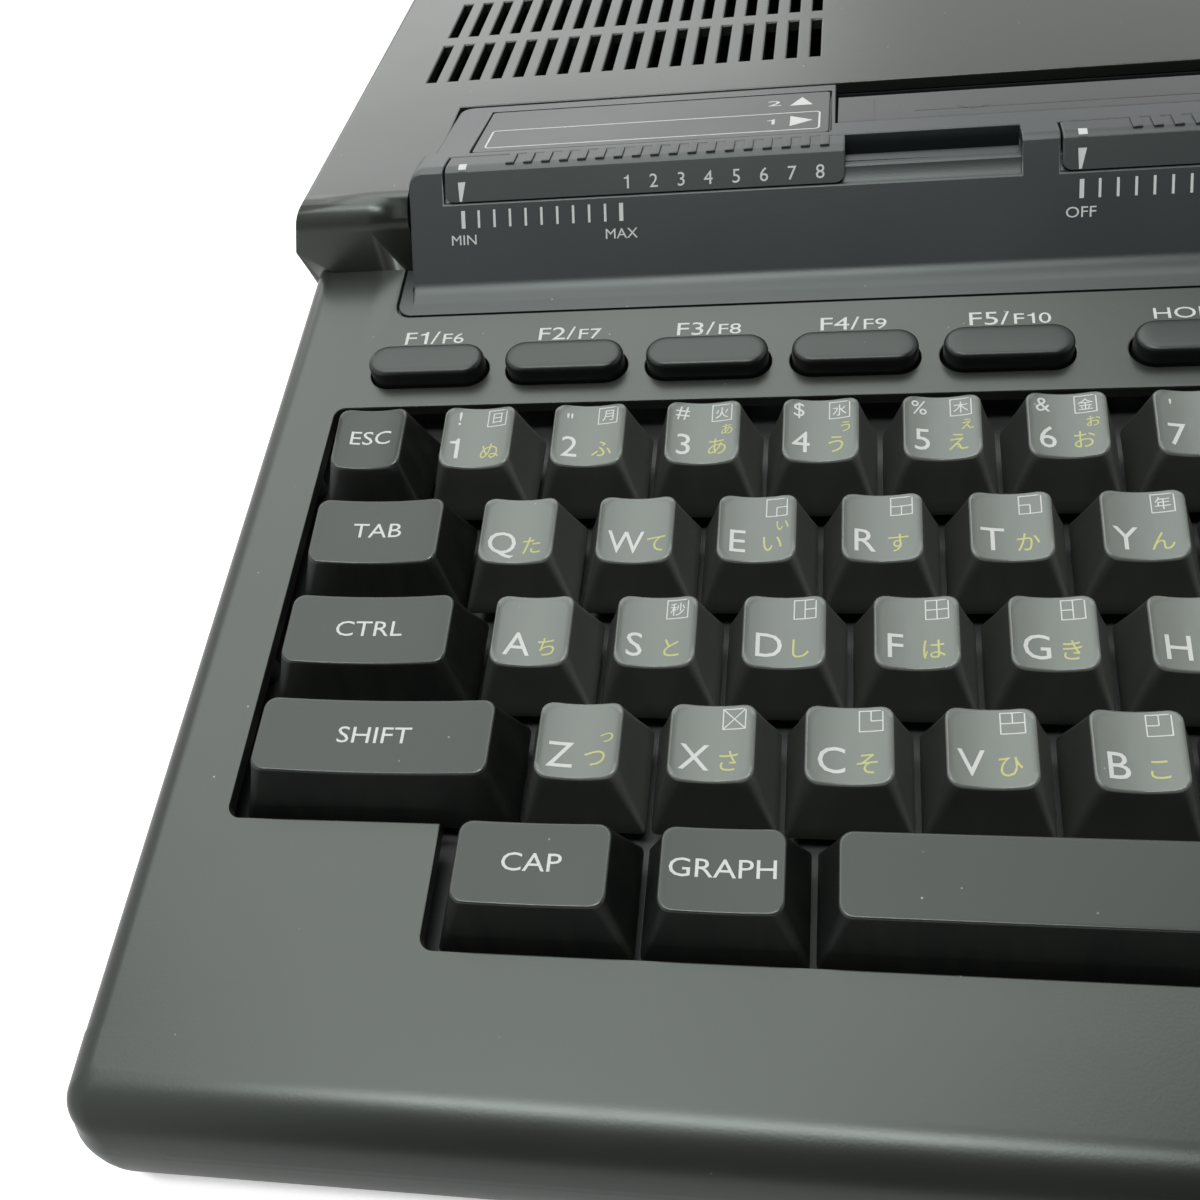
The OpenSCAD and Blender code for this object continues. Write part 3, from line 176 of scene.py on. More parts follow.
def add_camera():
    data = bpy.data.cameras.new("camera")
    data.lens = CAMERA_LENS
    data.sensor_width = 36
    data.clip_start = 0.01
    camera = added("camera", data)
    camera.location = Vector(CAMERA_AT)*MM
    camera.rotation_euler = [radians(angle) for angle in CAMERA_TURN]
    SCENE.camera = camera


# ---- Materials ----

class Nodes:
    """Short calls for building the node tree of a material or of the world."""

    def __init__(self, name, owners=bpy.data.materials, shader="Principled BSDF"):
        self.owner = owners.new(name)
        self.owner.use_nodes = True
        self.tree = self.owner.node_tree
        self.shader = self.tree.nodes[shader]
        self.place = self.add("TexCoord").outputs["Object"]

    def feed(self, socket, value):
        """Links a source to an input, or sets its value."""
        if isinstance(value, bpy.types.NodeSocket):
            self.tree.links.new(value, socket)
        else:
            socket.default_value = (*value, 1) if socket.type == "RGBA" else value

    def set(self, node=None, **values):
        """Feeds a node's inputs by name, with _ for a space. Without a node it is the shader."""
        for name, value in values.items():
            self.feed((node or self.shader).inputs[name.replace("_", " ")], value)

    def add(self, kind, **values):
        node = self.tree.nodes.new("ShaderNode" + kind)
        self.set(node, **values)
        return node

    def noise(self, scale, detail=3, stretch=(1, 1, 1)):
        mapping = self.add("Mapping", Scale=stretch, Vector=self.place)
        node = self.add("TexNoise", Scale=scale, Detail=detail, Vector=mapping.outputs[0])
        return node.outputs["Fac"]

    def ramp(self, source, low, high, to_low=0.0, to_high=1.0):
        node = self.add("MapRange", Value=source, From_Min=low, From_Max=high)
        self.set(node, To_Min=to_low, To_Max=to_high)
        return node.outputs[0]

    def math(self, operation, a, b):
        node = self.add("Math")
        node.operation = operation
        self.feed(node.inputs[0], a)
        self.feed(node.inputs[1], b)
        return node.outputs[0]

    def mix(self, amount, a, b):
        node = self.add("Mix")
        node.data_type = "RGBA"
        for i, value in ((0, amount), (6, a), (7, b)):
            self.feed(node.inputs[i], value)
        return node.outputs[2]

    def facing(self, axis):
        """One component of the surface's normal."""
        normal = self.add("NewGeometry").outputs["Normal"]
        return self.add("SeparateXYZ", Vector=normal).outputs[axis]

    def specks(self, scale, share, size):
        """Scattered dust: small dots in some cells of a Voronoi pattern."""
        cells = self.add("TexVoronoi", Scale=scale, Vector=self.place).outputs
        dot = self.ramp(cells["Distance"], size, size*0.4)
        split = self.add("SeparateColor", Color=cells["Color"]).outputs
        chosen = self.math("GREATER_THAN", split[0], 1 - share)
        return self.math("MULTIPLY", self.math("MULTIPLY", dot, chosen), split[1])

    def bump(self, height, strength, distance):
        node = self.add("Bump", Strength=strength, Distance=distance*MM, Height=height)
        self.set(Normal=node.outputs[0])


GRAIN = 2600  # moulded grain, in cells per metre
SHADED_SIDE_SHARE = 0.2  # share of their colour that letter keys keep on their sides: painted shade on the sides
DUST = (0.34, 0.35, 0.31)
# Colour of the streaks on key sides: dirt, and painted light where the sides face right
GRIME_AND_SIDE_LIGHT = (0.060, 0.060, 0.035)
SHEEN = (0.90, 1.0, 0.94)


def plastic(name, colour, haze, roughness=0.45, grain=0.25, dust=0.12, grime_and_side_light=0.0, flank=1.0, ior=1.54):
    """Moulded plastic: cloudy colour, fine grain, uneven gloss, dust on top, and dirt streaks on the sides
    that grow stronger on sides facing right, which is painted light.
    Colour and haze are in thousandths; flank is the share of the colour left on the sides, as painted
    shade that is lighter on sides facing right, where light falls."""
    n = Nodes(name)
    colour, haze = (tuple(c/1000 for c in tone) for tone in (colour, haze))
    cloud = n.ramp(n.noise(14, 5), 0.3, 0.7)
    fine = n.noise(GRAIN, 2)
    body = n.mix(cloud, colour, haze)
    # Painted shade: the sides are darkened to the flank share, less on sides facing right, where light
    # falls.
    if flank < 1:
        unlit_sides = n.ramp(n.facing(0), 0.7, 0.2, 0.35, 1.0)
        upright = n.math("MULTIPLY", n.ramp(n.facing(2), 0.93, 0.5), unlit_sides)
        body = n.mix(upright, body, tuple(flank*c for c in colour))
    # Dirt streaks on the sides, stronger on sides facing right; that right-hand part is painted light on
    # the lit sides.
    if grime_and_side_light:
        streaks = n.ramp(n.noise(420, 4, (1, 1, 0.12)), 0.38, 0.75)
        side = n.ramp(n.facing(2), 0.75, 0.3)
        right = n.ramp(n.facing(0), -0.2, 0.6, 0.25, 1.0)
        amount = n.math("MULTIPLY", n.math("MULTIPLY", streaks, side), right)
        body = n.mix(n.math("MULTIPLY", amount, grime_and_side_light), body, GRIME_AND_SIDE_LIGHT)
    on_top = n.ramp(n.facing(2), 0.5, 0.9)
    small = n.specks(420, dust, 0.09)
    large = n.specks(110, dust*0.3, 0.04)
    speck = n.math("MULTIPLY", n.math("MAXIMUM", small, large), on_top)
    n.set(Base_Color=n.mix(speck, body, DUST))
    rough = n.ramp(n.noise(35, 2), 0.2, 0.8, roughness - 0.02, roughness + 0.03)
    n.set(Specular_Tint=SHEEN, IOR=ior, Roughness=n.math("ADD", rough, n.math("MULTIPLY", speck, 0.3)))
    n.bump(n.math("ADD", fine, n.math("MULTIPLY", speck, 2.0)), grain, 0.03)
    return n.owner


def paint(name, colour):
    """Printed paint: nearly even, thinner in places."""
    n = Nodes(name)
    worn = n.ramp(n.noise(900, 4), 0.5, 0.85, 0.0, 0.12)
    n.set(Base_Color=n.mix(worn, colour, tuple(0.5*c for c in colour)), Roughness=0.55)
    return n.owner


def metal(name, colour, roughness=0.35):
    n = Nodes(name)
    brushed = n.noise(700, 3, (1, 0.05, 1))
    n.set(Base_Color=n.mix(n.noise(60, 4), colour, tuple(0.8*c for c in colour)), Metallic=1.0)
    n.set(Roughness=n.ramp(brushed, 0.3, 0.7, roughness - 0.08, roughness + 0.1))
    return n.owner


def board(name, colour, track):
    """Circuit board: solder mask over a net of copper tracks."""
    n = Nodes(name)
    cells = n.add("TexVoronoi", Scale=260, Vector=n.place)
    cells.feature, cells.distance = "DISTANCE_TO_EDGE", "MANHATTAN"
    line = n.ramp(cells.outputs["Distance"], 0.08, 0.05)
    n.set(Base_Color=n.mix(line, colour, track), Roughness=0.35)
    n.bump(line, 0.3, 0.03)
    return n.owner


# The plastic of each slot, as the values that plastic takes
PLASTICS = {
    "case_top": ("case_plastic", (14, 16, 14), (19, 21, 18), 0.30, 0.35),
    "case_bottom": ("tray_plastic", (16, 18, 16), (21, 23, 20), 0.35, 0.35),
    "panel": ("panel_plastic", (14, 17, 19), (18, 21, 23), 0.38, 0.3, 0.07),
    "label": ("label_plastic", (20, 23, 22), (25, 28, 26), 0.40, 0.15, 0.06),
    "slider": ("slider_plastic", (15, 17, 18), (19, 22, 23), 0.42, 0.3, 0.05),
    "flap": ("flap_plastic", (18, 20, 20), (23, 25, 23), 0.43, 0.3, 0.05),
    "letter_keys": ("letter_key_plastic", (116, 127, 116), (129, 142, 127), 0.42, 0.3, 0.10, 0.3, SHADED_SIDE_SHARE),
    "command_keys": ("command_key_plastic", (6, 7, 7), (9, 10.5, 9.5), 0.36, 0.3, 0.16, 0.2, 1.0, 1.48),
    "function_buttons": ("button_plastic", (5, 6, 6), (8, 9, 9), 0.36, 0.25, 0.12, 0.0, 1.0, 1.48),
    "power": ("power_plastic", (22, 23, 25), (28, 30, 31), 0.35, 0.1),
    "reset": ("reset_plastic", (75, 80, 80), (85, 90, 88), 0.38, 0.1),
    "frame_plastic": ("frame_plastic", (20, 21, 22), (26, 27, 27), 0.5, 0.1),
    "connector": ("connector_plastic", (10, 10, 12), (15, 15, 17), 0.4, 0.1),
    "chips": ("chip_epoxy", (8, 8, 9), (14, 14, 14), 0.5, 0.3),
    "feet_rubber": ("foot_rubber", (10, 10, 10), (16, 16, 15), 0.8, 0.5),
    "dome_rubber": ("dome_rubber", (400, 370, 280), (460, 430, 330), 0.55, 0.05),
    "ribbon": ("ribbon_plastic", (350, 340, 300), (420, 410, 370), 0.4, 0.05),
}
MATERIALS = {slot: plastic(*values) for slot, values in PLASTICS.items()}
MATERIALS["steel"] = metal("zinc_steel", (0.60, 0.60, 0.58))
MATERIALS["transformer"] = metal("varnished_core", (0.20, 0.20, 0.21), 0.45)
MATERIALS["pot_metal"] = metal("stamped_tin", (0.50, 0.51, 0.52))
MATERIALS["board"] = board("solder_mask", (0.010, 0.075, 0.025), (0.030, 0.130, 0.045))
RIMS = {
    "letter_keys": plastic("letter_key_rim", (100, 108, 100), (115, 125, 113), 0.26, 0.05, 0.0),
    "command_keys": plastic("command_key_rim", (16, 18, 18), (20, 22, 21), 0.26, 0.05, 0.0),
}
INKS = [paint("white_print", (0.50, 0.52, 0.50)), paint("kana_print", (0.40, 0.42, 0.14)),
        paint("dark_line", (0.010, 0.011, 0.012))]
WHITE, GREEN, LINE = range(3)
SLOTS = {item["node"]: item["material_slot"] for item in frame["record"]["subparts"]}


def dress_cad_nodes():
    for name, node in frame["nodes"].items():
        node.data.materials.clear()
        node.data.materials.append(MATERIALS[SLOTS[name]])


# ---- Mesh helpers ----

def finished(bm, name, body, slot, replaces=(), materials=None, sharp=40):
    """Turns a bmesh in mm into a piece that rides on a body."""
    bmesh.ops.scale(bm, vec=(MM, MM, MM), verts=bm.verts)
    mesh = bpy.data.meshes.new(name)
    bm.to_mesh(mesh)
    bm.free()
    for material in materials or [MATERIALS[slot]]:
        mesh.materials.append(material)
    mesh.shade_smooth()
    mesh.set_sharp_from_angle(angle=radians(sharp))
    piece = added(name, mesh)
    weighted = piece.modifiers.new("weighted", "WEIGHTED_NORMAL")
    weighted.keep_sharp = True
    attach(piece, body)
    for node in replaces:
        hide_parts(node)


def mix(a, b, t):
    return a + (b - a)*t


def copied(node):
    """A copy of a CAD node's mesh, in mm, with its flat faces joined."""
    bm = bmesh.new()
    bm.from_mesh(frame["nodes"][node].data)
    bmesh.ops.scale(bm, vec=(1/MM, 1/MM, 1/MM), verts=bm.verts)
    bmesh.ops.remove_doubles(bm, verts=bm.verts, dist=0.003)
    bmesh.ops.dissolve_limit(bm, angle_limit=radians(1), verts=bm.verts, edges=bm.edges)
    return bm


def rounded(bm, test, radius, steps=2, concave=False):
    """Rounds the sharp edges whose middle and direction pass the test."""
    chosen = []
    for edge in bm.edges:
        if edge.is_manifold and edge.is_convex != concave and edge.calc_face_angle() > radians(32):
            a, b = (vert.co for vert in edge.verts)
            if test((a + b)/2, (b - a).normalized()):
                chosen.append(edge)
    bmesh.ops.bevel(bm, geom=chosen, offset=radius, segments=steps, profile=0.5, affect="EDGES",
                    clamp_overlap=False)


def softened(node, body, *rounds, bm=None, sharp=40):
    """A CAD node with rounded edges, which replaces it. Each round is a test, a radius and steps."""
    bm = bm or copied(node)
    for values in rounds:
        rounded(bm, *values)
    finished(bm, node + "_look", body, SLOTS[node], [node], sharp=sharp)


def cut(bm, at, normal, clear=False):
    """Cuts a bmesh along a plane; clear takes off what lies beyond it."""
    geometry = bm.verts[:] + bm.edges[:] + bm.faces[:]
    bmesh.ops.bisect_plane(bm, geom=geometry, plane_co=at, plane_no=normal, clear_outer=clear)


def append(bm, part, place=Matrix.Identity(4)):
    """Adds a placed part to a bmesh."""
    bmesh.ops.transform(part, matrix=place, verts=part.verts)
    mesh = bpy.data.meshes.new("part")
    part.to_mesh(mesh)
    part.free()
    bm.from_mesh(mesh)
    bpy.data.meshes.remove(mesh)


def skin(bm, rings, second=()):
    """Joins closed rings of points with quads and closes both ends. The bands between rings that
    are listed in second get the piece's second material."""
    rows = [[bm.verts.new(point) for point in ring] for ring in rings]
    count = len(rows[0])
    for band, (low, high) in enumerate(zip(rows, rows[1:])):
        for i in range(count):
            j = (i + 1) % count
            bm.faces.new((low[i], low[j], high[j], high[i])).material_index = int(band in second)
    bm.faces.new(rows[0][::-1])
    bm.faces.new(rows[-1])


def outline(corners, radius, corner_steps=5, side_steps=6, inset=0.0):
    """A rectilinear outline with rounded corners, drawn in by inset. Radius and inset don't change
    the count of its points."""
    count = len(corners)
    turns = []
    for i, corner in enumerate(corners):
        back = (corners[i - 1] - corner).normalized()
        ahead = (corners[(i + 1) % count] - corner).normalized()
        convex = 1 if back.cross(ahead) < 0 else -1
        point = corner + convex*inset*(back + ahead)
        turns.append((point, back, ahead))
    points = []
    for i, (point, back, ahead) in enumerate(turns):
        centre = point + radius*(back + ahead)
        for k in range(corner_steps + 1):
            a = pi/2*k/corner_steps
            points.append(centre - radius*(cos(a)*ahead + sin(a)*back))
        end = points[-1]
        next_point, next_back, _ = turns[(i + 1) % count]
        start = next_point + radius*next_back
        points += [end.lerp(start, k/side_steps) for k in range(1, side_steps)]
    return points


def raised(points, z):
    """Flat points at a height."""
    return [Vector((p.x, p.y, z)) for p in points]


def box_corners(half_w, front, rear):
    return [Vector(p) for p in ((half_w, rear), (-half_w, rear), (-half_w, front), (half_w, front))]


def add_post(bm, x, half_w, front, rear, low, high):
    """An upright bar with its middle at x."""
    foot = [p + Vector((x, 0)) for p in box_corners(half_w, front, rear)]
    skin(bm, [raised(foot, z) for z in (low, high)])


# ---- Keycaps ----

CAP_EDGE = 0.35  # radius of the rolled rim round a key's top
CAP_SKIRT = 0.9  # height of the upright band at the foot
CAP_TOP_R = 1.9  # radius of the corners at the top, at the foot and inside
CAP_FOOT_R = 0.7
CAP_INNER_TOP_R = 1.1
CAP_INNER_FOOT_R = 0.4
ROOF_T = 0.12  # how far down the flare the inside's roof lies
CAP_HOLLOW = 0.04  # how far the flared sides sink in, as a share of the flare
FLARE = (PITCH - KEY_GAP - TOP_W)/2
ROW_TILT = (1.0, 0.7, 0.4, 0.0, 0.0)  # how much higher the rear of a row's tops lies
LETTER_DISH = 1.05
DISH = 0.85
FRONT_DISH = 0.4
SPACE_STEM = 2.8  # how far out the space bar's outer stems stand, in key pitches


def plain_corners(width, t):
    """A keycap's corners at depth t, from 0 at its top to 1 at its foot."""
    half = (width*PITCH - KEY_GAP)/2 - FLARE*(1 - t)
    return box_corners(half, mix(-TOP_D/2, -FOOT_FRONT, t), mix(TOP_D/2, FOOT_D - FOOT_FRONT, t))


def return_corners(t):
    """The return key's corners: one cap over two rows, wider in the upper one."""
    right = (1.25*PITCH - KEY_GAP)/2 - FLARE*(1 - t)
    wide = -0.125*PITCH - (1.5*PITCH - KEY_GAP)/2 + FLARE*(1 - t)
    rear = PITCH/2 + mix(TOP_D/2, FOOT_D - FOOT_FRONT, t)
    step = PITCH/2 - mix(TOP_D/2, FOOT_FRONT, t)
    front = -PITCH/2 - mix(TOP_D/2, FOOT_FRONT, t)
    return [Vector(p) for p in ((right, rear), (wide, rear), (wide, step), (-right, step),
                                (-right, front), (right, front))]


def key_top(width, row, dish):
    """The height of a key's top over the deck: a shallow trough, with its rear edge higher."""
    half = (width*PITCH - KEY_GAP)/2 - FLARE
    base = KEY_RISE + ROW_RISE[row]

    def height(x, y):
        return base + ROW_TILT[row]*(y/TOP_D + 0.5) - dish*max(0.0, 1 - (x/half)**2)
    return height


def add_cap(bm, place, corners, height, dish, middle=Vector((0, 0)), stems=(0.0,)):
    """One keycap: rolled rim, dished top, flared sides with a hollow inside, and its stems."""
    foot_z = KEY_RISE - KEY_H
    top = outline(corners(0), CAP_TOP_R)

    def ring(t, drop, inset=0.0):
        sunk = t - CAP_HOLLOW*sin(pi*t)
        flat = outline(corners(sunk), mix(CAP_TOP_R, CAP_FOOT_R, t), inset=inset)
        return [Vector((p.x, p.y, mix(height(q.x, q.y) - drop, foot_z + CAP_SKIRT, t)))
                for p, q in zip(flat, top)]

    def level(z, t, inset, radius):
        return raised(outline(corners(t), radius, inset=inset), z)

    floor = min(height(p.x, p.y) for p in top) - dish - KEY_WALL
    rings = [level(floor, ROOF_T, KEY_WALL, CAP_INNER_TOP_R),
             level(foot_z + CAP_SKIRT, 1, KEY_WALL, CAP_INNER_FOOT_R),
             level(foot_z, 1, KEY_WALL, CAP_INNER_FOOT_R), level(foot_z, 1, 0, CAP_FOOT_R)]
    rings += [ring(t, CAP_EDGE) for t in (1, 0.8, 0.6, 0.4, 0.2, 0)]
    rim = len(rings) - 1
    for step in (1, 2, 3):
        a = pi/6*step
        rings.append(ring(0, CAP_EDGE*(1 - sin(a)), CAP_EDGE*(1 - cos(a))))
    last = rings[-1]
    for share in (0.94, 0.86, 0.72, 0.58, 0.44, 0.3, 0.16):
        flat = [Vector((middle.x, middle.y)).lerp(Vector((p.x, p.y)), share) for p in last]
        rings.append([Vector((p.x, p.y, height(p.x, p.y))) for p in flat])
    part = bmesh.new()
    skin(part, rings, (rim, rim + 1, rim + 2))
    for x in stems:
        add_post(part, x*PITCH, STEM/2, -STEM/2, STEM/2, STEM_END, floor)
    append(bm, part, place)


def finish_keys(node, caps, prints, slot):
    finished(caps, node + "_cap", node, slot, [node], [MATERIALS[slot], RIMS[slot]])
    if prints.verts:
        finished(prints, node + "_legend", node, slot, materials=INKS)
    else:
        prints.free()


# ---- Printed marks ----

CAP_HEIGHT = 0.69  # of the built-in font, for a text size of 1
LETTER_GAP = 0.07
# The digit one, with the foot and flag that the built-in font's lacks
ONE = ((0.21, 0), (0.31, 0), (0.31, CAP_HEIGHT), (0.24, CAP_HEIGHT), (0.2, 0.6), (0.05, 0.56),
       (0.05, 0.5), (0.21, 0.5))
ONE_WIDTH = 0.42
PRINT_LIFT = 0.02


@cache
def text_shape(text):
    """Points and faces of a text at size 1, and the width that it takes."""
    if text == "1":
        return ONE, [range(len(ONE))], ONE_WIDTH
    curve = bpy.data.curves.new("text", "FONT")
    curve.body = text
    curve.resolution_u = 3
    thing = added("text", curve)
    bpy.context.view_layer.update()
    mesh = thing.evaluated_get(bpy.context.evaluated_depsgraph_get()).to_mesh()
    points = [(vert.co.x, vert.co.y) for vert in mesh.vertices]
    faces = [tuple(face.vertices) for face in mesh.polygons]
    bpy.data.objects.remove(thing)
    bpy.data.curves.remove(curve)
    return points, faces, max(x for x, _ in points) + LETTER_GAP


class Print:
    """Flat printed marks on one surface. lift gives the surface's height at x, y."""

    def __init__(self, lift=lambda x, y: 0.0):
        self.bm = bmesh.new()
        self.lift = lift

    def face(self, points, ink=WHITE):
        self.shape(points, [range(len(points))], 0, 0, 1, ink=ink)

    def text(self, text, x, y, size, left=False, stretch=1.0):
        """Text with its baseline at y, its cap height given as size."""
        scale = size/CAP_HEIGHT
        runs = [run for run in text.replace("1", "\n1\n").split("\n") if run]
        widths = [text_shape(run)[2] for run in runs]
        start = x - (0 if left else sum(widths)*scale*stretch/2)
        for run, width in zip(runs, widths):
            points, faces, _ = text_shape(run)
            self.shape(points, faces, start, y, scale, stretch)
            start += width*scale*stretch
        return start

    def sign(self, text, x, y, em, ink=WHITE):
        """A character centred on x, y, with its em size given."""
        points, faces, _ = text_shape(text)
        xs, ys = zip(*points)
        left = x - em*(min(xs) + max(xs))/2
        low = y - em*(min(ys) + max(ys))/2
        self.shape(points, faces, left, low, em, ink=ink)

    def shape(self, points, faces, x, y, scale, stretch=1.0, ink=WHITE):
        verts = [self.bm.verts.new((x + px*scale*stretch, y + py*scale, 0)) for px, py in points]
        for face in faces:
            self.bm.faces.new([verts[i] for i in face]).material_index = ink

    def bar(self, a, b, width, ink=WHITE):
        a, b = Vector(a), Vector(b)
        side = (b - a).normalized().orthogonal()*width/2
        self.face([a - side, b - side, b + side, a + side], ink)

    def frame(self, x0, y0, x1, y1, width):
        half = width/2
        for y in (y0, y1):
            self.bar((x0 - half, y), (x1 + half, y), width)
        for x in (x0, x1):
            self.bar((x, y0 + half), (x, y1 - half), width)

    def rounded_frame(self, x0, y0, x1, y1, radius, width):
        corners = [Vector(p) for p in ((x1, y1), (x0, y1), (x0, y0), (x1, y0))]
        rims = []
        for half in (width/2, -width/2):
            rim = outline(corners, radius - half, inset=half)
            rims.append([self.bm.verts.new((p.x, p.y, 0)) for p in rim])
        inner, outer = rims
        for i in range(len(inner)):
            j = (i + 1) % len(inner)
            self.bm.faces.new((inner[i], inner[j], outer[j], outer[i]))

    def laid(self, step=1.0):
        """Cuts the marks into strips that follow the surface, and lifts them onto it."""
        xs = [vert.co.x for vert in self.bm.verts]
        if step and xs:
            for k in range(ceil(min(xs)/step), ceil(max(xs)/step)):
                cut(self.bm, (k*step, 0, 0), (1, 0, 0))
        for vert in self.bm.verts:
            vert.co.z = self.lift(vert.co.x, vert.co.y) + PRINT_LIFT
        for face in self.bm.faces:
            face.normal_update()
        bmesh.ops.reverse_faces(self.bm, faces=[face for face in self.bm.faces if face.normal.z < 0])
        return self.bm


def printed(part, name, place, body, slot):
    """A Print on a flat surface, as a piece of its own."""
    bm = part.laid(0)
    bmesh.ops.transform(bm, matrix=place, verts=bm.verts)
    finished(bm, name, body, slot, materials=INKS)


def legends(row):
    """The signs of a row's keys: main, shifted, kana, small kana and boxed; a dot stands for none.
    Letters in a box are lines from its middle: up, down, left, right, or x for a cross."""
    return [[sign.strip("·") for sign in (key.split() + ["·"]*5)[:5]] for key in row.split("  ")]


# Each row: the column of its first key, and its signs
ROWS = (
    (0.0, legends("1 ! ぬ · 日  2 \" ふ · 月  3 # あ ぁ 火  4 $ う ぅ 水  5 % え ぇ 木  6 & お ぉ 金  7 ' や ゃ 土  "
                  "8 ( ゆ ゅ  9 ) よ ょ  0 · わ を  - = ほ  ^ ~ へ  ¥ | ー")),
    (0.5, legends("Q · た  W · て  E · い ぃ dr  R · す · lrd  T · か · ld  Y · ん · 年  U · な  I · に  O · ら  "
                  "P · せ  @ ` ゛  [ { ゜")),
    (0.75, legends("A · ち  S · と · 秒  D · し · udr  F · は · udlr  G · き · udl  H · く  J · ま  K · の  L · り  "
                   "; + れ  : * け  ] } む")),
    (1.25, legends("Z · つ っ  X · さ · x  C · そ · ur  V · ひ · lru  B · こ · ul  N · み  M · も  , < ね  "
                   ". > る  / ? め  _ · ろ")),
)
OWN_NODES = "123456QWERTYASDFGZXCVB"  # keys that are CAD nodes of their own
WIDE_SIGNS = "WM"
# Place and size of each kind of sign
MAIN = (-4.6, -4.3, 4.0)
MAIN_LEFT = {"Q": -5.0, "W": -4.4, "A": -4.2, "1": -4.9}  # signs that start elsewhere
SHIFTED = (-3.5, 3.8, 3.8)
KANA = (2.4, -2.8, 3.7)
KANA_BY_WIDE = (3.3, -2.8, 3.7)
SMALL = (3.9, 0.4, 2.8)
BOXED = (2.95, 3.8, 2.4)
BOX_SIDE = 3.2
BOX_LINE = 0.17


def box_lines(part, lines):
    """The small framed sign at a key's upper right."""
    x, y, size = BOXED
    half = BOX_SIDE/2
    part.frame(x - half, y - half, x + half, y + half, BOX_LINE)
    if lines == "x":
        part.bar((x - half, y - half), (x + half, y + half), BOX_LINE)
        part.bar((x - half, y + half), (x + half, y - half), BOX_LINE)
        return
    ends = {"u": (0, half), "d": (0, -half), "l": (-half, 0), "r": (half, 0)}
    if all(sign in ends for sign in lines):
        for sign in lines:
            part.bar((x, y), (x + ends[sign][0], y + ends[sign][1]), BOX_LINE)
    else:
        part.sign(lines, x, y, size)


def letter_print(signs, height):
    main, shifted, kana, small, boxed = signs
    part = Print(height)
    wide = main in WIDE_SIGNS
    x, y, size = MAIN
    part.text(main, MAIN_LEFT.get(main, x), y, size, left=True, stretch=0.95 if wide else 1.05)
    if shifted:
        part.sign(shifted, *SHIFTED)
    part.sign(kana, *(KANA_BY_WIDE if wide else KANA), GREEN)
    if small:
        part.sign(small, *SMALL, GREEN)
    if boxed:
        box_lines(part, boxed)
    return part.laid()


def make_letter_keys():
    """All letter and number keys: one piece for each CAD node, and one more for its legends."""
    caps = {}
    prints = {}
    for row, (first, keys) in enumerate(ROWS):
        height = key_top(1, row, LETTER_DISH)
        for i, signs in enumerate(keys):
            node = "right_number_keys" if row == 0 else "right_letter_keys"
            if signs[0] in OWN_NODES:
                node = "key_" + signs[0].lower()
            if node not in caps:
                caps[node], prints[node] = bmesh.new(), bmesh.new()
            place = key_at(first + i, row)
            add_cap(caps[node], place, lambda t: plain_corners(1, t), height, LETTER_DISH)
            append(prints[node], letter_print(signs, height), place)
    for node, bm in caps.items():
        finish_keys(node, bm, prints[node], "letter_keys")


ARROWS = {"up": ((0, 1.6), (-1.7, -1.2), (1.7, -1.2)), "down": ((0, -1.6), (1.7, 1.2), (-1.7, 1.2)),
          "left": ((-1.8, 0), (1.2, -1.6), (1.2, 1.6)), "right": ((1.8, 0), (-1.2, 1.6), (-1.2, -1.6))}
CURSOR = (CURSOR_X - KEY_X0)/PITCH
# node: (column, row, width in key pitches, dish, legend)
COMMANDS = {
    "key_esc": [(-1, 0, 1, DISH, "ESC")],
    "key_tab": [(-0.75, 1, 1.5, DISH, "TAB")],
    "key_ctrl": [(-0.625, 2, 1.75, DISH, "CTRL")],
    "key_shift": [(-0.375, 3, 2.25, DISH, "SHIFT")],
    "key_caps": [(1, 4, 1.5, FRONT_DISH, "CAP")],
    "key_graph": [(2.375, 4, 1.25, FRONT_DISH, "GRAPH")],
    "key_space": [(7, 4, 8, 0.0, "")],
    "cursor_keys": [(CURSOR, 2, 1.5, DISH, "up"), (CURSOR - 0.75, 3, 1.5, DISH, "left"),
                    (CURSOR + 0.75, 3, 1.5, DISH, "right"), (CURSOR, 4, 1.5, DISH, "down")],
    "right_command_keys": [(12.625, 3, 1.75, DISH, "SHIFT"), (11.75, 4, 1.5, FRONT_DISH, "かな")],
}


def make_command_keys():
    for node, keys in COMMANDS.items():
        caps, prints = bmesh.new(), bmesh.new()
        for column, row, width, dish, legend in keys:
            place = key_at(column, row)
            height = key_top(width, row, dish)
            stems = (-SPACE_STEM, 0.0, SPACE_STEM) if node == "key_space" else (0.0,)
            add_cap(caps, place, lambda t: plain_corners(width, t), height, dish, stems=stems)
            part = Print(height)
            if legend in ARROWS:
                part.face(ARROWS[legend])
            elif legend:
                part.text(legend, 0.1, -1.1, 2.65, stretch=1.2)
            append(prints, part.laid(), place)
        if node == "right_command_keys":
            add_return(caps, prints)
        finish_keys(node, caps, prints, "command_keys")


def add_return(caps, prints):
    """The return key: its height is the front row's, less what that row stands higher."""
    place = key_at(12.875, 1.5)
    height = key_top(1.25, 4, DISH)
    lowered = ROW_RISE[4]
    add_cap(caps, place, return_corners, lambda x, y: height(x, y) - lowered, DISH,
            middle=Vector((0, PITCH/2)))
    part = Print(height)
    part.text("RETURN", 0, -1.2, 2.4)
    append(prints, part.laid(), place)


# ---- Function buttons ----

FKEY_FOOT = -5.0  # the underside of a button's cap
FKEY_STEM = STEM - 0.2
EDITING = ("HOME", "INS", "DEL", "SELECT", "STOP")
LEGEND_Y = FKEY_Y + 6.7
LEGEND_STRETCH = 1.3
FIRST_NAME_X = -6.4  # left edge of a button's first name


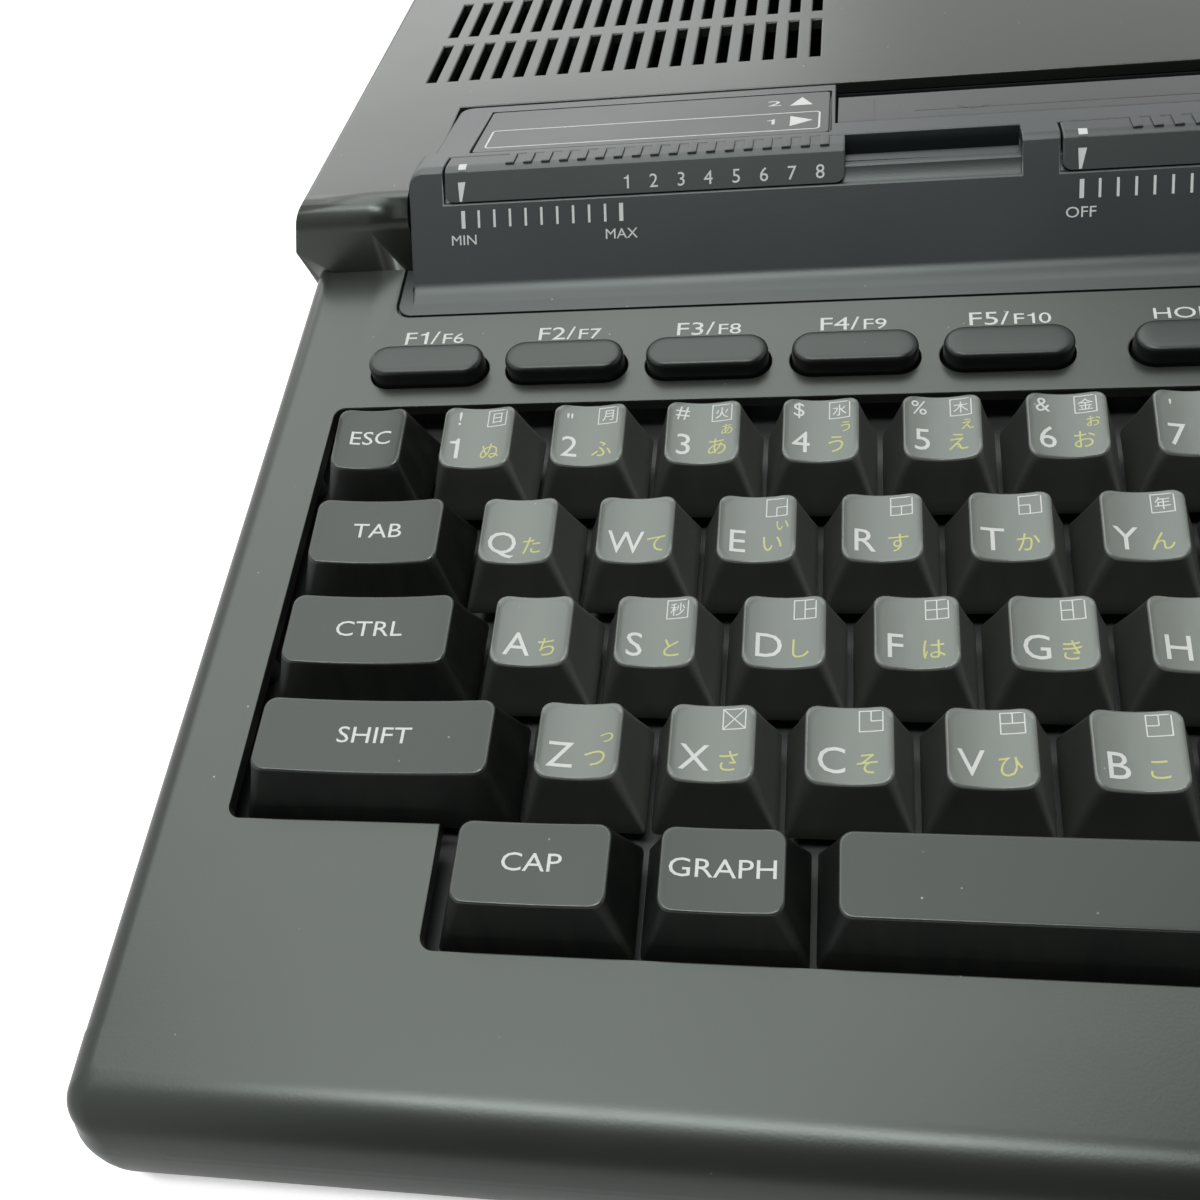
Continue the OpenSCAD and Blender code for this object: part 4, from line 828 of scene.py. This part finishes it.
def add_button(bm, place):
    """A long button with round ends, a rolled rim and a slightly crowned top."""
    rings = []
    for drop, inset in ((FKEY_RISE - FKEY_FOOT, 0), (1.1, 0), (0.6, 0.12), (0.25, 0.4), (0.06, 0.85),
                        (0, 1.6), (-0.05, 3.0)):
        corners = box_corners(FKEY_W/2 - inset, -FKEY_D/2 + inset, FKEY_D/2 - inset)
        rim = outline(corners, FKEY_D/2 - inset - 0.01, corner_steps=8)
        rings.append(raised(rim, FKEY_RISE - drop))
    part = bmesh.new()
    skin(part, rings)
    add_post(part, 0, FKEY_STEM/2, -FKEY_STEM/2, FKEY_STEM/2, STEM_END, FKEY_FOOT + 0.1)
    append(bm, part, place)


def make_function_buttons():
    groups = {f"key_f{i + 1}": [i] for i in range(5)}
    groups["editing_keys"] = list(range(5, 10))
    for node, members in groups.items():
        bm = bmesh.new()
        for i in members:
            add_button(bm, fkey_at(i))
        finished(bm, node + "_cap", node, "function_buttons", [node])
    part = Print()
    for i in range(10):
        x = fkey_at(i).translation.x
        if i < 5:
            middle = part.text(f"F{i + 1}/", x + FIRST_NAME_X, LEGEND_Y, 3.05, left=True,
                               stretch=LEGEND_STRETCH)
            part.text(f"F{i + 6}", middle, LEGEND_Y, 2.45, left=True, stretch=LEGEND_STRETCH)
        else:
            part.text(EDITING[i - 5], x, LEGEND_Y + 0.1, 2.5, stretch=LEGEND_STRETCH)
    printed(part, "deck_print", DECK, "case", "case_top")


# ---- Sliders ----

FIRST_X = -PANEL_HALF + SLIDER_MARGIN
SLIDER_X = (FIRST_X, FIRST_X + SLIDER_W + SLIDER_TRAVEL + 2*SLIDER_GAP + SLIDER_BRIDGE)
CREST_Z = BLOCK_H + CREST_RISE
LIP_Z = CREST_Z - SLIDER_DROP
RAIL_Z = LIP_Z + RAIL_H
SLOPE = tan(radians(FACE_ANGLE))
LIP_Y = PANEL_Y0 + (LIP_Z - PANEL_Z0)/SLOPE
TRACK_Y1 = LIP_Y + TRACK_D
TOP_ANGLE = radians(90 - TRAY_FALL)
FRONT_ANGLE = radians(90 + FACE_ANGLE)
CREST_EDGE = 0.6  # radius of the edge between the ridge's face and its crown
CROWN_R = 3.8


def towards(angle):
    """Unit vector in the y-z plane."""
    return Vector((0, cos(angle), sin(angle)))


FACE_TOP = CREST_Z - CREST_R*(1 - cos(radians(FACE_ANGLE)))
FACE_LEN = (FACE_TOP - PANEL_Z0)/sin(radians(FACE_ANGLE))
CREST_C = FACE @ Vector((0, FACE_LEN, -CREST_R))
CROWN_C = CREST_C + (CREST_R - CROWN_R)*towards(TOP_ANGLE)
FACE_DISTANCE = CREST_R + (CROWN_R - CREST_R)*cos(FRONT_ANGLE - TOP_ANGLE)
EDGE_ANGLE = FRONT_ANGLE - acos((FACE_DISTANCE - CREST_EDGE)/(CROWN_R - CREST_EDGE))
EDGE_C = CROWN_C + (CROWN_R - CREST_EDGE)*towards(EDGE_ANGLE)


def crest(t):
    """A point of the ridge's crest, from the top of its crown (0) over the edge to its face (1)."""
    if t < 0.5:
        return CROWN_C + CROWN_R*towards(mix(TOP_ANGLE, EDGE_ANGLE, t/0.5))
    return EDGE_C + CREST_EDGE*towards(mix(EDGE_ANGLE, FRONT_ANGLE, t/0.5 - 1))


RIB_PITCH = 3.4
RIB_COUNT = 18
RIB_START = 12.4
RIB_W = 1.65
CREST_STEPS = 16
SLIDER_EDGE = 0.25  # radius of the edges at a slider's ends
SLIDER_CORNER = 1.6  # radius of the lower corners of its face
SLIDER_WALL = 1.1
TONGUE_HALF = 6.0
TONGUE_L = 10.0


def rounding(radius, away):
    """How far a round edge draws a surface in, at a distance from the end."""
    return radius - sqrt(radius**2 - (radius - min(away, radius))**2)


def make_slider(node, x0):
    """A sliding cover: its section follows the ridge, and grip ribs stand on its crown."""
    back = TRACK_Y1 - SLIDER_GAP
    inner = LIP_Y + RAIL_BACK + SLIDER_GAP
    ends = [0, 0.05, 0.12, SLIDER_EDGE, 0.5, 0.9, SLIDER_CORNER]
    rings = []
    for x in ends + [SLIDER_W - x for x in reversed(ends)]:
        away = min(x, SLIDER_W - x)
        shrink = rounding(SLIDER_EDGE, away)
        corner = rounding(SLIDER_CORNER, away)
        low = LIP_Z + SLIDER_GAP + corner
        floor = LIP_Z + SLIDER_GAP + shrink
        inside = RAIL_Z + SLIDER_GAP + shrink
        section = [(LIP_Y + (low - LIP_Z)/SLOPE, low), (LIP_Y + SLIDER_WALL + corner/2, low),
                   (LIP_Y + RAIL_FRONT, max(inside, low + 0.1)), (inner, inside), (inner, floor),
                   (back - shrink, floor), (back - shrink, TRAY_Z + 0.25 - shrink)]
        points = [Vector((0, y, z)) for y, z in section]
        for k in range(CREST_STEPS + 1):
            point = crest(k/CREST_STEPS)
            points.append(point - shrink*(point - CREST_C).normalized())
        rings.append([point + Vector((x0 + x, 0, 0)) for point in points])
    bm = bmesh.new()
    skin(bm, rings)
    add_post(bm, x0 + SLIDER_W/2, TONGUE_HALF, inner, back, LIP_Z - TONGUE_L, LIP_Z + SLIDER_GAP + 0.3)
    for i in range(RIB_COUNT):
        append(bm, rib(back), Matrix.Translation((x0 + RIB_START + i*RIB_PITCH, 0, 0)))
    bmesh.ops.recalc_face_normals(bm, faces=bm.faces)
    finished(bm, node + "_look", node, "slider", [node])


def rib(back):
    """A grip rib: level, so that its rounded front end stands out of the falling crown."""
    rear, front = back - 0.1, CREST_C.y - 0.7
    side = ((rear, TRAY_Z - 0.3), (rear, TRAY_Z + 0.6), (CREST_C.y, CREST_Z + 0.34),
            (front, CREST_Z + 0.38), (front, CREST_Z - 1))
    bm = bmesh.new()
    skin(bm, [[Vector((x, y, z)) for y, z in side] for x in (-RIB_W/2, RIB_W/2)])
    bmesh.ops.recalc_face_normals(bm, faces=bm.faces)
    rounded(bm, lambda p, along: p.z > TRAY_Z, 0.16, 2)
    return bm


STRIPE_STEPS = 8


def crest_stripe(bm, x0, x1, t0, t1, ink):
    for k in range(STRIPE_STEPS):
        quad = []
        for x, j in ((x0, k), (x1, k), (x1, k + 1), (x0, k + 1)):
            t = mix(t0, t1, j/STRIPE_STEPS)
            point = crest(t)
            out = (point - (CROWN_C if t < 0.5 else EDGE_C)).normalized()
            quad.append(bm.verts.new(point + PRINT_LIFT*out + Vector((x, 0, 0))))
        bm.faces.new(quad).material_index = ink


# The pointer's stripe and the numbers, from a slider's left end
POINTER_X0, POINTER_X1 = 2.6, 4.1
NUMBER_X = 34.5
NUMBER_STEP = 5.0
NUMBER_Y = 17.8


def make_sliders():
    for node, x0 in zip(("speed_slider", "turbo_slider"), SLIDER_X):
        make_slider(node, x0)
        part = Print()
        part.face(((x0 + 2.55, 20.5), (x0 + 2.75, 17.0), (x0 + 3.2, 17.0), (x0 + 4.0, 20.5)))
        for i in range(8):
            part.text(str(i + 1), x0 + NUMBER_X + i*NUMBER_STEP, NUMBER_Y, 2.4)
        marks = bmesh.new()
        append(marks, part.laid(0), FACE)
        # The dark band over the crest's edge is painted shade, standing for a small notch there; the white
        # band is the pointer's print.
        crest_stripe(marks, x0 + POINTER_X0, x0 + POINTER_X1, 0.99, 0.6, LINE)
        crest_stripe(marks, x0 + POINTER_X0, x0 + POINTER_X1, 0.42, 0.0, WHITE)
        finished(marks, node + "_print", node, "slider", materials=INKS)


# The scale under each slider; its marks start MARK_X from the slider's left end
MARK_COUNT = 11
MARK_X = 3.3
MARK_PITCH = SLIDER_TRAVEL/(MARK_COUNT - 1)
MARK_FOOT, MARK_TOP = 12.1, 15.3
MARK_W = 0.45
END_MARK_W = 0.75
SCALE_TEXT = 1.8  # cap height


def make_panel_print():
    part = Print()
    for x0 in SLIDER_X:
        for i in range(MARK_COUNT):
            x = x0 + MARK_X + MARK_PITCH*i
            width = END_MARK_W if i in (0, MARK_COUNT - 1) else MARK_W
            part.bar((x, MARK_FOOT), (x, MARK_TOP), width)
    first, second = (x0 + MARK_X for x0 in SLIDER_X)
    part.text("MIN", first, 9.1, SCALE_TEXT, stretch=1.1)
    part.text("MAX", first + SLIDER_TRAVEL, 9.0, SCALE_TEXT, stretch=1.1)
    part.text("OFF", second, 8.9, SCALE_TEXT, stretch=1.15)
    printed(part, "panel_print", FACE, "case", "panel")


# ---- Label plate and flap ----

# Places on the panel's tray part
LABEL_FRAME = (-154.9, 1.2, -91.7, 10.1)
SLOT_2_AT = (-100.3, 14.3)
SLOT_2_ARROW = ((-95.2, 18.4), (-97.4, 14.0), (-93.1, 14.0))
SLOT_1_AT = (-100.5, 4.5)
SLOT_1_ARROW = ((-97.1, 3.1), (-92.9, 5.75), (-97.1, 8.4))
FLAP_NOTCH = ((-66.7, 9.6), (-63.7, 7.6), (-60.6, 9.6))
FLAP_LINE = ((-81.6, 4.5), (-81.6, 16.0))


def make_label_print():
    """The slot plate's marks: a frame round the front slot's line, numbers and arrows."""
    part = Print()
    part.rounded_frame(*LABEL_FRAME, 0.8, 0.36)
    part.text("2", *SLOT_2_AT, 2.7, stretch=1.5)
    part.face(SLOT_2_ARROW)
    part.text("1", *SLOT_1_AT, 2.6, stretch=1.5)
    part.face(SLOT_1_ARROW)
    printed(part, "label_print", TRAY, "case", "label")


def make_flap_print():
    """Fine moulded lines on the flap: a shallow V and a joint."""
    part = Print()
    for a, b in zip(FLAP_NOTCH, FLAP_NOTCH[1:]):
        part.bar(a, b, 0.16, LINE)
    part.bar(*FLAP_LINE, 0.12, LINE)
    printed(part, "flap_line", TRAY @ Matrix.Translation((0, 0, FLAP_DROP)), "cartridge_flap", "flap")


# ---- Case ----

# How much further out the skin lies than the CAD solids
WIDER = 1.7  # at the deck's sides
BLOCK_WIDER = 1.0  # at the rear block's top
BLOCK_FRONT_R = 5.5  # radius of the block's front top edge
CORNER_CUT = 14.0  # side of the square that a front corner's patch fills, seen from above
CORNER_X = DECK_HALF - CORNER_CUT
CORNER_Y = Y_FRONT + CORNER_CUT
CORNER_STEPS = 10
NOSE_STEPS = 36
NOSE_TURN = radians(172)  # how far round the front edge a patch reaches
RIM_R = 1.5  # radius of the flat deck's own corners
WALL_R = 7.0  # radius of the corners seen from above, where the sides are upright
ABOVE_DECK = 40.0  # a height over all of the deck's front part
SKIN_JOIN = 0.03  # how far apart points may lie that become one


def near(a, b, tolerance=0.06):
    return abs(a - b) < tolerance


def deck_height(p):
    return (DECK.inverted() @ p).z


def anywhere(p, along):
    return True


def side_width(p):
    """Half the case's outer width at a point of its skin."""
    if p.z < SEAM_Z:
        half = DECK_HALF if p.y < Y_BLOCK else BLOCK_HALF
        return half - TRAY_TAPER*(SEAM_Z - p.z)/(SEAM_Z - FOOT_H)
    if p.y < Y_BLOCK:
        return DECK_HALF - (SIDE_R if deck_height(p) > -SIDE_R else 0)
    if p.z > BLOCK_H - 2:
        return BLOCK_HALF - DRAFT_IN - BLOCK_R
    return BLOCK_HALF - DRAFT_IN*max(0.0, p.z - BLOCK_H + DRAFT_H)/DRAFT_H


def widen(bm):
    """Moves the skin of the deck's sides and of the block's top sides out."""
    for vert in bm.verts:
        p = vert.co
        if abs(p.x) > side_width(p) - 0.2:
            at_block = BLOCK_WIDER if p.z > BLOCK_H - 3 else 0.0
            p.x += copysign(WIDER if p.y < Y_BLOCK - 0.01 else at_block, p.x)


def corner_arc(x, y, radius):
    """A front corner's arc, from the front edge at y to the side at x."""
    turns = [pi/2*j/CORNER_STEPS for j in range(CORNER_STEPS + 1)]
    return [(x - radius*(1 - sin(a)), y + radius*(1 - cos(a))) for a in turns]


def corner_slice(depth, front):
    """The right front corner's outline at a depth under the deck, where its front edge is at front."""
    up = SIDE_R - min(depth, SIDE_R)
    flank = DECK_HALF + WIDER - SIDE_R + sqrt(SIDE_R**2 - up**2)
    radius = mix(RIM_R, WALL_R, min(1.0, depth/SIDE_R))
    points = []
    for x, y in [(CORNER_X, front), *corner_arc(flank, front, radius), (flank, 2*CORNER_CUT)]:
        p = DECK @ Vector((x, y, -depth))
        taper = TRAY_TAPER*max(0.0, SEAM_Z - p.z)/(SEAM_Z - FOOT_H)
        p.x -= taper*min(1.0, (x - CORNER_X)/CORNER_CUT)
        points.append(p)
    return points


def corner_patch(bm, side, low, high):
    """A front corner between two heights, made of outlines parallel to the deck: each joins the
    round front edge to the rolled side with a corner radius of its own."""
    part = bmesh.new()
    rows = []
    for k in range(NOSE_STEPS + 1):
        turn = NOSE_TURN*k/NOSE_STEPS
        points = corner_slice(FRONT_R*(1 - cos(turn)), -FRONT_R*sin(turn))
        rows.append([part.verts.new((side*p.x, p.y, p.z)) for p in points])
    for upper, lower in zip(rows, rows[1:]):
        for j in range(len(upper) - 1):
            quad = (lower[j], lower[j + 1], upper[j + 1], upper[j])
            part.faces.new(quad if side > 0 else quad[::-1])
    cut(part, (0, 0, low), (0, 0, -1), True)
    cut(part, (0, 0, high), (0, 0, 1), True)
    cut(part, (0, CORNER_Y, 0), (0, 1, 0), True)
    append(bm, part)


def round_front_corners(bm, low, high):
    """Takes the outer skin off both front corners and puts rounder ones in its place."""
    cut(bm, (CORNER_X, 0, 0), (1, 0, 0))
    cut(bm, (-CORNER_X, 0, 0), (1, 0, 0))
    cut(bm, (0, CORNER_Y, 0), (0, 1, 0))
    old = []
    for face in bm.faces:
        p = face.calc_center_median()
        level = abs(face.normal.z) > 0.99 and (near(p.z, low) or near(p.z, high))
        if abs(p.x) > CORNER_X and p.y < CORNER_Y and not level:
            middle = Vector((copysign(CORNER_X, p.x), CORNER_Y, 10))
            if face.normal.dot(p - middle) > 0:
                old.append(face)
    bmesh.ops.delete(bm, geom=old, context="FACES")
    for side in (-1, 1):
        corner_patch(bm, side, low, high)


def add_deck_corners(bm):
    """The flat of the deck inside the rims of both corner patches."""
    edge = DECK_HALF + WIDER - SIDE_R
    back = (CORNER_Y - Y_DECK)/cos(radians(DECK_TILT))
    flat = [(CORNER_X, 0), *corner_arc(edge, 0, RIM_R), (edge, back), (CORNER_X, back)]
    for side in (-1, 1):
        verts = [bm.verts.new(DECK @ Vector((side*x, y, 0))) for x, y in flat]
        bm.faces.new(verts if side > 0 else verts[::-1])


def round_block_front(bm):
    """Gives the arc along the block's front top edge a larger radius."""
    grow = BLOCK_FRONT_R - BLOCK_R
    for vert in bm.verts:
        p = vert.co
        arm = Vector((0, p.y - Y_BLOCK - BLOCK_R, p.z - BLOCK_H + BLOCK_R))
        if near(arm.length, BLOCK_R) and arm.y < 0.01 and arm.z > -0.01:
            p.y += grow*(1 + arm.y/BLOCK_R)
            p.z -= grow*(1 - arm.z/BLOCK_R)


def make_case():
    """Both case halves. The tests below pick the edges that get rounded."""
    def block_upright(p, along):
        return abs(along.z) > 0.99 and near(abs(p.x), BLOCK_HALF, 0.1) and p.z > SEAM_Z

    def edge(p, along):
        on_deck = abs(deck_height(p)) < 0.06 and p.y < Y_BLOCK + 0.1
        on_block = near(p.z, BLOCK_H) and p.y > Y_BLOCK
        on_side = near(abs(p.x), BLOCK_HALF) and p.z > SEAM_Z + 1 and near(along.z, 0, 0.9)
        on_rear = near(p.y, case_hi.y) and p.z > SEAM_Z + 1
        return on_deck or on_block or on_side or on_rear

    bm = copied("upper_case")
    widen(bm)
    round_block_front(bm)
    round_front_corners(bm, SEAM_Z, ABOVE_DECK)
    add_deck_corners(bm)
    bmesh.ops.remove_doubles(bm, verts=bm.verts, dist=SKIN_JOIN)
    softened("upper_case", "case", (block_upright, 2.0, 4), (edge, 0.35, 2), bm=bm, sharp=32)

    bm = copied("lower_case")
    widen(bm)
    round_front_corners(bm, FOOT_H, SEAM_Z)
    bmesh.ops.remove_doubles(bm, verts=bm.verts, dist=SKIN_JOIN)
    softened("lower_case", "case", (lambda p, along: near(p.z, FOOT_H), 0.4, 2), bm=bm)


PANEL_END_R = 2.5  # radius over which the ridge's ends roll down
PANEL_END_CUTS = (0.15, 0.5, 1.0, 1.6, PANEL_END_R)


def shape_ridge(bm):
    """Gives the panel's crest a crown with a crisp front edge, and rolls its ends down."""
    for side in (-1, 1):
        for away in PANEL_END_CUTS:
            cut(bm, (side*(PANEL_HALF - away), 0, 0), (1, 0, 0))
    for vert in bm.verts:
        p = vert.co
        arm = Vector((0, p.y - CREST_C.y, p.z - CREST_C.z))
        angle = atan2(arm.z, arm.y)
        on_crest = near(arm.length, CREST_R, 0.02) and TOP_ANGLE - 0.01 < angle < FRONT_ANGLE + 0.01
        if on_crest:
            point = crest((angle - TOP_ANGLE)/(FRONT_ANGLE - TOP_ANGLE))
            p.y, p.z = point.y, point.z
        away = max(0.0, PANEL_HALF - abs(p.x))
        if away < PANEL_END_R - 0.001 and (on_crest or p.z > BLOCK_H + 0.3):
            drop = rounding(PANEL_END_R, away)
            p.z -= drop
            if on_crest:
                p.y -= drop/SLOPE


def make_panel():
    """The control panel. The tests below pick the edges that get rounded."""
    def foot(p, along):
        return near(p.y, PANEL_Y0) and near(p.z, PANEL_Z0) and abs(along.x) > 0.99

    def tray_corner(p, along):
        return abs(along.z) > 0.99 and near(abs(p.x), TRAY_HALF) and near(p.y, PANEL_Y1)

    def tray_rim(p, along):
        side = near(abs(p.x), TRAY_HALF, 3.1) and p.y > TRAY_Y + 0.5
        return (side or near(p.y, PANEL_Y1)) and p.z > BLOCK_H - 0.6 and abs(along.z) < 0.9

    def recess(p, along):
        return p.z > LIP_Z - 0.5 and p.y < TRACK_Y1 + 0.2 and abs(p.x) < PANEL_HALF - 3

    def rest(p, along):
        return p.z > PANEL_Z0 - 2 and not recess(p, along) and abs(along.x) < 0.99

    bm = copied("control_panel")
    shape_ridge(bm)
    rounded(bm, foot, 2.4, 5, True)
    softened("control_panel", "case", (tray_corner, 3.0, 5), (tray_rim, 1.0, 3), (recess, 0.3, 2),
             (rest, 0.3, 2), bm=bm)


def make_small_parts():
    softened("slot_label_plate", "case", (anywhere, 0.2, 2))
    softened("cartridge_flap", "cartridge_flap", (lambda p, along: abs(along.x) > 0.99, 0.3, 2))
    softened("power_button", "power_button", (anywhere, 0.6, 3))
    softened("reset_button", "reset_button", (lambda p, along: near(abs(along.z), 0, 0.1), 0.3, 2))
    softened("rubber_feet", "case", (lambda p, along: p.z < 1, 0.5, 2))


# ---- Studio ----

FLOOR_SIZE = 3.0
WORLD_LIGHT = 0.06  # strength of the world on the object
FLOOR_GLOW = 0.5  # what the floor adds to its own white where the camera sees it


def sheet(name, verts, faces, material):
    """A piece of the studio, in metres."""
    mesh = bpy.data.meshes.new(name)
    mesh.from_pydata(verts, [], faces)
    mesh.materials.append(material)
    return added(name, mesh)


def make_floor():
    n = Nodes("floor_paper")
    glow = n.math("MULTIPLY", n.add("LightPath").outputs["Is Camera Ray"], FLOOR_GLOW)
    n.set(Base_Color=n.mix(n.noise(3, 2), (0.86, 0.86, 0.86), (0.88, 0.88, 0.88)), Roughness=0.9)
    n.set(Emission_Color=(1.0, 1.0, 1.0), Emission_Strength=glow)
    half = FLOOR_SIZE/2
    corners = [(-half, -half, 0), (half, -half, 0), (half, half, 0), (-half, half, 0)]
    sheet("floor", corners, [(0, 1, 2, 3)], n.owner)


def make_world():
    """Dim soft light all round; white to the camera, in reflections and through glass."""
    n = Nodes("studio", bpy.data.worlds, "Background")
    SCENE.world = n.owner
    rays = n.add("LightPath").outputs
    seen = rays["Is Camera Ray"]
    for other in ("Is Glossy Ray", "Is Transmission Ray"):
        seen = n.math("MAXIMUM", seen, rays[other])
    n.set(Color=(1, 1, 1), Strength=n.ramp(seen, 0, 1, WORLD_LIGHT))


def add_light(name, at, target, size, radiance):
    """A rectangular lamp whose power gives its surface the stated brightness."""
    data = bpy.data.lights.new(name, "AREA")
    data.shape = "RECTANGLE"
    data.size, data.size_y = size
    data.energy = radiance*pi*size[0]*size[1]
    light = added(name, data)
    light.location = at
    light.rotation_euler = (Vector(target) - Vector(at)).to_track_quat("-Z", "Y").to_euler()


def make_lights():
    add_light("rear_softbox", (-0.35, 0.33, 1.30), (-0.08, -0.02, 0.05), (1.4, 1.4), 2.9)
    add_light("rear_panel", (-0.80, 1.45, 0.66), (-0.05, 0.0, 0.05), (1.5, 0.6), 1.7)
    add_light("front_lamp", (-0.22, -0.50, 1.2), (-0.1, -0.05, 0.03), (0.8, 0.12), 30)


def make_dark_card():
    """A dark sheet that arches behind and over the front lamp. Only reflections show it, so the
    plastic's front faces stay deep."""
    profile = [(-1.3, 0.02), (-1.3, 0.7), (-1.15, 1.2), (-0.8, 1.5), (-0.12, 1.6)]
    verts = [(x, y, z) for y, z in profile for x in (-0.75, 1.9)]
    faces = [(2*i, 2*i + 1, 2*i + 3, 2*i + 2) for i in range(len(profile) - 1)]
    n = Nodes("dark_cloth")
    n.set(Base_Color=n.mix(n.noise(5, 2), (0.02, 0.02, 0.022), (0.03, 0.03, 0.032)), Roughness=1.0)
    card = sheet("dark_card", verts, faces, n.owner)
    card.visible_camera = card.visible_diffuse = False
    card.visible_shadow = card.visible_transmission = False


add_camera()
dress_cad_nodes()
make_case()
make_panel()
make_small_parts()
make_letter_keys()
make_command_keys()
make_function_buttons()
make_sliders()
make_panel_print()
make_label_print()
make_flap_print()
make_floor()
make_world()
make_lights()
make_dark_card()
SCENE.view_settings.view_transform = "Standard"
